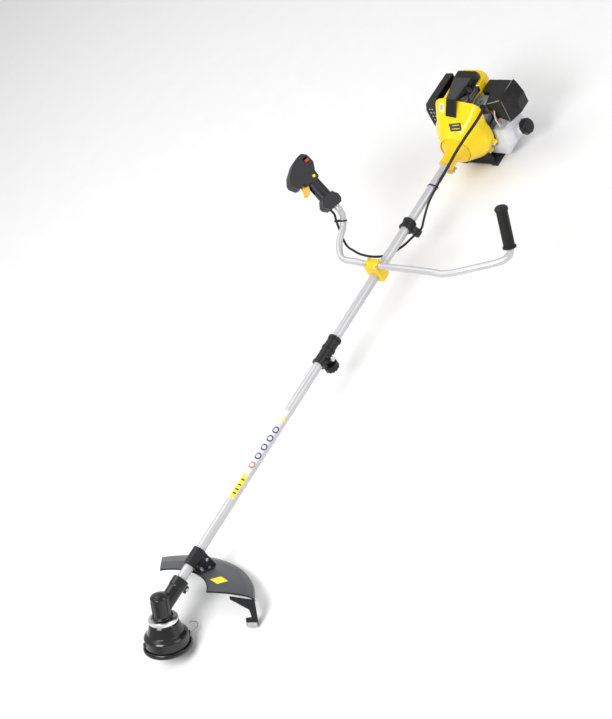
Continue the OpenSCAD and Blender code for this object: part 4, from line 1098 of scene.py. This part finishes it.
@dataclass
class Studio:
    """Camera, lights and floor."""

    eye: tuple[float, float, float] = (-1.498, -2.3625, 2.642)
    lens: float = 70.7
    turn: tuple[tuple[float, float, float], ...] = (
        (0.5025, 0.7781, -0.3768), (-0.7401, 0.1619, -0.6527), (-0.4469, 0.6069, 0.6572),
    )
    lamps: tuple[tuple[str, tuple[float, float, float], float, float], ...] = (
        ("Key", (-1.9, -0.2, 2.4), 1.3, 62.0),
        ("Fill", (1.8, -2.8, 1.9), 2.2, 34.0),
        ("Top", (0.4, 1.6, 3.2), 2.4, 40.0),
    )
    sky: float = 0.55

    def build(self) -> None:
        """Make the camera first, then the lights and the floor."""
        camera = bpy.data.cameras.new("Camera")
        camera.lens = self.lens
        camera.sensor_width = 36.0
        holder = bpy.data.objects.new("Camera", camera)
        holder.matrix_world = Matrix.Translation(self.eye) @ Matrix(self.turn).to_4x4()
        bpy.context.scene.collection.objects.link(holder)
        bpy.context.scene.camera = holder
        bpy.context.scene.view_settings.view_transform = "Standard"
        for lamp in self.lamps:
            self.light(*lamp)
        world = bpy.data.worlds.new("World")
        bpy.context.scene.world = world
        world.use_nodes = True
        sky = world.node_tree.nodes["Background"]
        sky.inputs["Color"].default_value = (1.0, 1.0, 1.0, 1.0)
        sky.inputs["Strength"].default_value = self.sky
        bpy.ops.object.select_all(action="DESELECT")
        bpy.ops.mesh.primitive_plane_add(size=16.0)
        floor = bpy.context.active_object
        floor.name = "floor"
        paper = Finish(
            "Studio floor", (0.86, 0.86, 0.86), (0.88, 0.88, 0.88), 0.7, 0.02, 0.0, 60.0, 0.001,
            0.0, (0.8, 0.8, 0.8), 0.0,
        )
        floor.data.materials.append(paper.make())

    @staticmethod
    def light(name: str, place: tuple[float, float, float], size: float, power: float) -> None:
        """Add one soft square light that faces the machine's middle.

        Args:
            name: Name of the light.
            place: Where it stands, in metres.
            size: Length of its sides, in metres.
            power: Its power, in watts.
        """
        lamp = bpy.data.lights.new(name, "AREA")
        lamp.size = size
        lamp.energy = power
        holder = bpy.data.objects.new(name, lamp)
        way = Vector((0.1, 0.0, 0.15)) - Vector(place)
        holder.matrix_world = (
            Matrix.Translation(place) @ way.to_track_quat("-Z", "Y").to_matrix().to_4x4()
        )
        bpy.context.scene.collection.objects.link(holder)


@dataclass
class CuttingLine(SubAssembly):
    """The loop of nylon line that shows beside the head."""

    body: str = "output"
    turn: float = -28.0
    drop: float = 84.0
    radius: float = 1.2
    points: tuple[tuple[float, float, float], ...] = (
        (57, 0, 0), (66, 0, 0), (78, 4, 2), (86, 14, 4), (87, 27, 5), (80, 36, 5), (70, 38, 4),
    )

    def build(self) -> None:
        spin = Matrix.Rotation(math.radians(self.turn), 3, "Z")
        places = []
        for x, y, z in self.points:
            turned = spin @ Vector((x, y, 0.0))
            places.append(on_head(turned.x, turned.y, z - self.drop))
        route = smooth_route(places, 6)
        item = Bench.swept("cutting_line", route, self.radius, 3)
        self.add(item, LINE, Slot.LINE, None, ("trimmer_line",))


@dataclass
class Shaft(SubAssembly):
    """The harness ring, and the label band on the lower tube."""

    tube: float = 13.0
    label_from: float = 333.0
    label_to: float = 618.0
    icons: tuple[float, ...] = (439.0, 468.0, 497.0, 526.0, 554.0)
    icon_lead: float = 90.0
    panel_at: float = 371.0
    arrow_at: float = 591.0
    film_lean: float = 10.0
    film: float = 0.05
    gap: float = 0.12

    def build(self) -> None:
        """Build the harness ring first, then the label."""
        self.recast("harness_clamp", SATIN_BLACK, Slot.BLACK, 0.8, 4, 0.5)
        self.label()

    def label(self) -> None:
        """Wrap the label band round the lower tube, with its generic marks."""
        half = (self.label_to - self.label_from) / 2
        lean = math.radians(self.film_lean)
        way = Vector((0.0, -math.sin(lean), math.cos(lean)))
        middle = on_shaft(self.label_from + half, 0.0, 0.0) + way * (self.tube + self.gap) * MM
        film = Bench.plate("label_film", oblong(24, 2 * half), facing(middle, way, ALONG), 20)
        Bench.stick(film, frame["nodes"]["lower_tube"], 0.02, self.film)
        self.add(film, LABEL_WHITE, Slot.TUBE, "lower_shaft")
        rim, dot = round_outline(10.0), round_outline(5.8)
        marks = [self.mark("icon", rim, x, x - self.icon_lead, 0.0, 0.1, 8) for x in self.icons]
        self.add(marks.pop(0), LABEL_RED, Slot.TUBE, "lower_shaft").name = "label_red_icon"
        self.add(Bench.joined("label_icons", marks), LABEL_BLUE, Slot.TUBE, "lower_shaft")
        dots = [self.mark("dot", dot, x, x - self.icon_lead, 0.0, 0.18, 6) for x in self.icons]
        self.add(Bench.joined("label_dots", dots), LABEL_WHITE, Slot.TUBE, "lower_shaft")
        panel, tip = self.panel_at, self.arrow_at
        fields = [
            self.mark("label_field", oblong(18, 72), panel, panel, 0.6, 0.1, 12),
            self.mark("label_arrow", [(-7, -6), (7, -6), (0, 7)], tip, tip, 0.6, 0.1, 3),
        ]
        self.add(Bench.joined("label_fields", fields), LABEL_YELLOW, Slot.TUBE, "lower_shaft")
        bars = [
            self.mark("bar", oblong(wide, 4.4), x, panel, 0.8, 0.18, 4)
            for x, wide in ((350.0, 10.0), (362.0, 12.0), (376.0, 10.0), (392.0, 12.0))
        ]
        self.add(Bench.joined("label_bars", bars), LABEL_BLACK, Slot.TUBE, "lower_shaft")

    def mark(
        self, name: str, outline: Outline, x: float, lean_at: float, out: float, lift: float,
        cuts: int,
    ) -> bpy.types.Object:
        """Lay one printed mark on the lower tube.

        Args:
            name: Name of the new object.
            outline: Its corners, in millimetres.
            x: Its place along the shaft.
            lean_at: The place whose direction it faces.
            out: How far outside the film it starts.
            lift: Distance that it keeps from the tube.
            cuts: Number of subdivisions.

        Returns:
            The mark.
        """
        way = self.outward(lean_at)
        place = on_shaft(x, 0.0, 0.0) + way * (self.tube + self.gap + out) * MM
        plate = Bench.plate(name, outline, facing(place, way, ALONG), cuts)
        return Bench.stick(plate, frame["nodes"]["lower_tube"], lift, self.film)

    @staticmethod
    def outward(x: float) -> Vector:
        """Give the direction that the label's marks face at a place along the tube."""
        lean = math.radians(20.0 + 27.0 * (x - 365.0) / 210.0)
        return Vector((0.0, -math.sin(lean), math.cos(lean)))


@dataclass
class Handlebar(SubAssembly):
    """The bent bar, its clamp and its two grips."""

    bar: float = 9.5
    clamp_half: float = 23.0
    ring_pitch: float = 5.0

    def build(self) -> None:
        """Build the bar, then the clamp, then each grip."""
        item = Bench.swept("bent_bar", self.centre_line(), self.bar, 7)
        self.add(item, TUBE_PAINT, Slot.TUBE, None, ("handlebar",))
        self.recast("handle_clamp_base", YELLOW_PAINT, Slot.YELLOW_METAL, 0.7, 5, 0.5)
        self.recast("handle_clamp_cap", YELLOW_PAINT, Slot.YELLOW_METAL, 0.6, 5, 0.6)
        self.left_grip()
        self.throttle_grip()

    def centre_line(self) -> Route:
        """Give the bar's centre line, from the left end to the throttle's end.

        Returns:
            The centre line, in metres.
        """
        side = self.clamp_half
        right = [
            (0, side + 4, 0), (0, side + 12, 0), (0, 60, 4), (-2, 104, 14), (35, 131, 29),
            (82, 136, 48), (102, 138, 72),
        ]
        left = [
            (0, -side - 4, 0), (0, -side - 12, 0), (0, -85, 4), (0, -195, 9), (5, -250, 5),
            (34, -332, 11), (62, -394, 14), (78, -417, 24),
        ]
        points = [LEFT_FOOT + k * LEFT_WAY for k in (90, 40, 0, -8)]
        points += [BAR_CENTRE + Vector(p) for p in reversed(left)]
        points += [BAR_CENTRE + Vector((0, 0, 0))]
        points += [BAR_CENTRE + Vector(p) for p in right]
        points += [THROTTLE_FOOT + k * THROTTLE_WAY for k in (-12, 0, 40, 78)]
        return [on_shaft(*p) for p in smooth_route(points, 6)]

    def left_grip(self) -> None:
        """Turn the plain grip with its collars and fine rings."""
        profile = [(9.9, 0.0), (18.5, 0.0), (18.5, 4.0), (17.5, 5.0), (15.5, 5.4)]
        level = 8.0
        while level < 98.0:
            profile += [
                (15.5, level), (14.7, level + 0.8), (14.7, level + 2.2), (15.5, level + 3.0),
            ]
            level += self.ring_pitch
        profile += [
            (15.5, 101.5), (17.6, 102.5), (18.0, 105.0), (17.6, 109.5), (17.0, 110.5),
            (12.0, 115.0), (5.0, 116.0),
        ]
        matrix = standing(on_shaft(*LEFT_FOOT), LEFT_WAY)
        item = Bench.turned("ringed_grip", profile, matrix, 56)
        self.add(item, RUBBER, Slot.RUBBER, None, ("left_grip",))

    def throttle_grip(self) -> None:
        """Mould the two halves, then the small controls round them."""
        self.recast("throttle_grip_inner", GRIP_BLACK, Slot.BLACK, 0.9, 7, 0.6)
        self.recast("throttle_grip_outer", GRIP_BLACK, Slot.BLACK, 0.9, 7, 0.6)
        self.recast("throttle_trigger", AMBER, Slot.YELLOW, 0.5, 5, 0.6)
        self.recast("lockout_lever", YELLOW, Slot.YELLOW, 0.4, 5, 0.6)
        self.recast("stop_switch", RED, Slot.RED, 0.4, 4, 0.6)
        self.recast("hold_button", YELLOW, Slot.YELLOW, 0.3, 4, 0.6)


@dataclass
class CuttingEnd(SubAssembly):
    """Gearbox, head and guard."""

    body: str = "lower_shaft"
    ribs: int = 10
    sticker_turn: float = -32.0
    sticker_radius: float = 154.0
    guard_inner: float = 121.0
    guard_top: float = 44.6
    guard_end: float = -54.0

    def build(self) -> None:
        """Build the gearbox first, then the head and the guard."""
        self.recast("gearbox_housing", GLOSS_BLACK, Slot.CASTING, 0.8, 5, 0.6)
        self.recast("guard_bracket", SATIN_BLACK, Slot.CASTING, 0.9, 4, 0.6)
        self.recast("guard_skirt", SATIN_BLACK, Slot.BLACK, 0.9, 3, 0.6)
        self.recast("head_housing", GLOSS_BLACK, Slot.BLACK, 0.9, 3, 0.5)
        self.recast("head_cover", GLOSS_BLACK, Slot.BLACK, 0.8, 3, 0.6)
        self.gearbox_details()
        self.guard()

    def gearbox_details(self) -> None:
        """Add the cap's dome and the casting's ribs."""
        turn = head_turn()
        base = Matrix.Translation(on_head(0.0, 0.0, 41.6)) @ turn
        profile = [(16.0, -1.0), (16.0, 1.0), (14.5, 2.6), (10.0, 3.8), (3.0, 4.3)]
        dome = Bench.turned("gearbox_dome", profile, base, 48)
        self.add(dome, GLOSS_BLACK, Slot.CASTING)
        ribs = []
        for k in range(self.ribs):
            spin = Matrix.Rotation(math.tau * (k + 0.5) / self.ribs, 4, "Z")
            place = Matrix.Translation(GEAR_CENTRE * MM) @ turn @ spin
            place = place @ Matrix.Translation(Vector((24.0, 0.0, 10.0)) * MM)
            ribs.append(Bench.block("rib", (3.0, 2.2, 44.0), place, 0.8))
        self.add(Bench.joined("gearbox_ribs", ribs), GLOSS_BLACK, Slot.CASTING)

    def guard(self) -> None:
        """Mould the guard, with its sticker, the bead of its inner edge and its lip."""
        shell = self.recast("guard_shell", GUARD_GREY, Slot.GUARD, 1.3, 2, 0.5)
        turn = math.radians(self.sticker_turn)
        radius = self.sticker_radius
        place = on_head(radius * math.cos(turn), radius * math.sin(turn), 44.0)
        normal = head_turn() @ Vector((0.1, 0.0, 1.0))
        outline = [(-24, 0), (0, -20), (24, 0), (0, 20)]
        diamond = Bench.plate("guard_sticker", outline, facing(place, normal, LABEL_UP), 10)
        Bench.stick(diamond, shell, 0.1, 0.2)
        self.add(diamond, LABEL_YELLOW, Slot.YELLOW)
        near, top = self.guard_inner, self.guard_top
        turns = [math.radians(self.guard_end + k * 2.5) for k in range(41)]
        bead = [on_head(near * math.cos(a), near * math.sin(a), top) for a in turns]
        rim = Bench.swept("guard_bead", bead, 2.2, 3)
        self.add(rim, SATIN_BLACK, Slot.GUARD)
        edge = math.radians(self.guard_end)
        steps = ((near, top), (170.0, 38.4), (214.0, 28.0), (232.0, 19.0), (236.0, 12.0))
        side = [on_head(r * math.cos(edge), r * math.sin(edge), z) for r, z in steps]
        lip = Bench.swept("guard_lip", smooth_route(side, 5), 2.2, 3)
        self.add(lip, SATIN_BLACK, Slot.GUARD)


@dataclass
class Engine(SubAssembly):
    """Covers, intake, tank, exhaust and starter of the engine."""

    guard_x: float = 151.0
    filter_x: float = 182.0
    rope_foot: tuple[float, float, float] = (255.0, 42.0, 14.0)
    rope_top: tuple[float, float, float] = (255.0, 42.0, 46.3)

    def build(self) -> None:
        """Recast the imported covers, then add the labels and the small parts."""
        cover = self.recast("fan_cover", YELLOW, Slot.YELLOW, 1.4, 14)
        self.recast("clutch_housing", YELLOW_PAINT, Slot.YELLOW_METAL, 0.9, 4, 0.6)
        self.recast("top_cover", SATIN_BLACK, Slot.BLACK, 1.0, 8, 0.7)
        self.recast("rear_shroud", YELLOW, Slot.YELLOW, 1.3, 6, 0.8)
        self.recast("air_filter_base", SATIN_BLACK, Slot.BLACK, 1.3, 4, 0.6)
        self.recast("air_filter_cover", SATIN_BLACK, Slot.BLACK, 1.3, 22, 0.7)
        self.recast("fuel_tank", TANK, Slot.TANK, 1.5, 45, 0.7)
        self.recast("fuel_cap", SATIN_BLACK, Slot.BLACK, 0.7, 4, 0.6)
        self.recast("engine_stand", SATIN_BLACK, Slot.BLACK, 1.3, 4, 0.6)
        self.recast("starter_housing", SATIN_BLACK, Slot.BLACK, 1.2, 4, 0.6)
        self.recast("starter_handle", SATIN_BLACK, Slot.BLACK, 0.6, 4, 0.6)
        self.conduit()
        self.labels(cover)
        self.intake_details()
        self.painted_hole_light()
        self.starter_rope()

    def painted_hole_light(self) -> None:
        """Set pale discs in the front holes of the muffler's guard as painted light, so that the holes look
        lit through.
        """
        # Painted light: each pale disc makes a hole look bright whatever the lamps do.
        discs = []
        for y in (104.0, 114.0):
            for z in range(0, 71, 14):
                place = standing(on_engine(self.guard_x + 1.0, y, z), Vector((1.0, 0.0, 0.0)))
                discs.append(Bench.turned("disc", [(2.95, 0.0), (2.95, 0.6)], place, 24))
        self.add(Bench.joined("guard_painted_hole_light", discs), HOLE_LIGHT_PAINT, Slot.STEEL)

    def starter_rope(self) -> None:
        """Sweep the starter's rope and let it stretch as the handle is pulled."""
        foot, top = on_engine(*self.rope_foot), on_engine(*self.rope_top)
        route = [foot.lerp(top, k / 24) for k in range(25)]
        rope = Bench.swept("starter_rope", route, 1.2, 3)
        rope.data.materials.clear()
        rope.data.materials.append(LINE.make())
        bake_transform(rope, "power_unit", "starter_pull", tuple(foot), tuple(top))

    def labels(self, cover: bpy.types.Object) -> None:
        """Lay the generic square label and the dark badge on the front housing.

        Args:
            cover: The front housing.
        """
        square = facing(on_engine(130.0, 41.0, 103.0), Vector((-0.70, 0.13, 0.71)), LABEL_UP)
        backing = Bench.plate("label_square", oblong(18, 26), square)
        Bench.stick(backing, cover, 0.1, 0.2)
        self.add(backing, LABEL_PALE, Slot.YELLOW)
        printing = Bench.plate("label_print", [(-5, -6), (5, -6), (5, 8), (-5, 8)], square)
        Bench.stick(printing, cover, 0.35, 0.1)
        self.add(printing, LABEL_GREY, Slot.YELLOW)
        badge_at = facing(on_engine(91.0, -12.0, 67.0), Vector((-0.60, -0.16, 0.78)), LABEL_UP)
        outline = [(-13, -12), (21, -12), (18, 11), (-21, 11)]
        badge = Bench.plate("label_badge", outline, badge_at)
        Bench.stick(badge, cover, 0.1, 0.2)
        self.add(badge, LABEL_BLACK, Slot.BLACK)
        bars = []
        for low in (-6.0, 4.0):
            bar = Bench.plate("bar", [(-8, low), (14, low), (13, low + 2), (-9, low + 2)], badge_at)
            bars.append(Bench.stick(bar, cover, 0.35, 0.1))
        self.add(Bench.joined("badge_bars", bars), LABEL_YELLOW, Slot.YELLOW)

    def intake_details(self) -> None:
        """Add painted highlights on the filter box's edges, as thin grey rods, and the hoses by the
        carburettor.
        """
        x = self.filter_x
        base = [(x - 11, -88, 85), (x - 5.5, -130, 94.5), (x + 77, -130, 95)]
        lid = [(x - 6, -137, 94), (x - 6, -137, 14)]
        # Painted highlights: grey rods along the filter box's edges, where light catches them.
        for name, corners in (("filter_edge_highlight", base), ("filter_lid_edge_highlight", lid)):
            rod = Bench.swept(name, [on_engine(*c) for c in corners], 1.3, 2)
            self.add(rod, EDGE_HIGHLIGHT_PAINT, Slot.BLACK)
        supply = [(172, -88, 58), (166, -98, 48), (166, -103, 30), (172, -104, 8)]
        hose = Bench.swept("fuel_hose", smooth_route([on_engine(*c) for c in supply], 6), 2.2, 3)
        self.add(hose, HOSE, Slot.RED)
        back = [(182, -88, 62), (172, -100, 58), (158, -104, 40), (160, -106, 8)]
        hose = Bench.swept("return_hose", smooth_route([on_engine(*c) for c in back], 6), 1.8, 3)
        self.add(hose, LABEL_WHITE, Slot.TANK)

    def conduit(self) -> None:
        """Sweep the throttle conduit along its route, thicker beside the engine."""
        nose = ENGINE_NOSE
        points = [
            (nose + 163, -80, 83), (nose + 150, -88, 87), (nose + 100, -92, 88),
            (nose + 56, -80, 78), (nose + 20, -56, 54), (nose - 10, -38, 32), (nose - 45, -24, 14),
            (nose - 83, -18, 4), (1376, -19, -2), (1321, -30, -10), (1288, -38, -14),
            (1254, -26, -14), (1224, -9, -19), (1184, 14, -14), (1158, 42, 2), (1146, 72, 20),
            (1146, 95, 34), (1152, 116, 41), (1168, 137, 50), (1184, 150, 68), (1190, 151, 90),
            (1191, 147, 108),
        ]
        places = [on_shaft(*p) for p in points] + [on_grip(22, 0, -12), on_grip(22, 0, 8)]
        route = smooth_route(places, 6)
        swell = [1.3 if 2 < k < 40 else 1.0 for k in range(len(route))]
        item = Bench.swept("conduit", route, 3.5, 3, swell)
        self.add(item, CONDUIT, Slot.CONDUIT, None, ("throttle_conduit",))


def dress_nodes() -> None:
    """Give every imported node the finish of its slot, apart from the few that differ."""
    special = {
        "guard_screws": ZINC, "body_screws": ZINC, "muffler": HEAT_BLACK, "cable_ties": SATIN_BLACK,
        "throttle_trigger": AMBER,
    }
    for part in frame["record"]["subparts"]:
        node = part["node"]
        finish = special.get(node, SLOT_FINISH[Slot(part["material_slot"])])
        mesh = frame["nodes"][node].data
        mesh.materials.clear()
        mesh.materials.append(finish.make())


def main() -> None:
    """Build the studio, then each sub-assembly."""
    logging.basicConfig(level=logging.INFO, format="%(name)s: %(message)s")
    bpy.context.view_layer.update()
    Studio().build()
    CuttingLine().build()
    dress_nodes()
    for group in (Shaft(), Handlebar(), CuttingEnd(), Engine()):
        group.build()
        log.info("%s done", type(group).__name__)


if __name__ == "__main__":
    main()
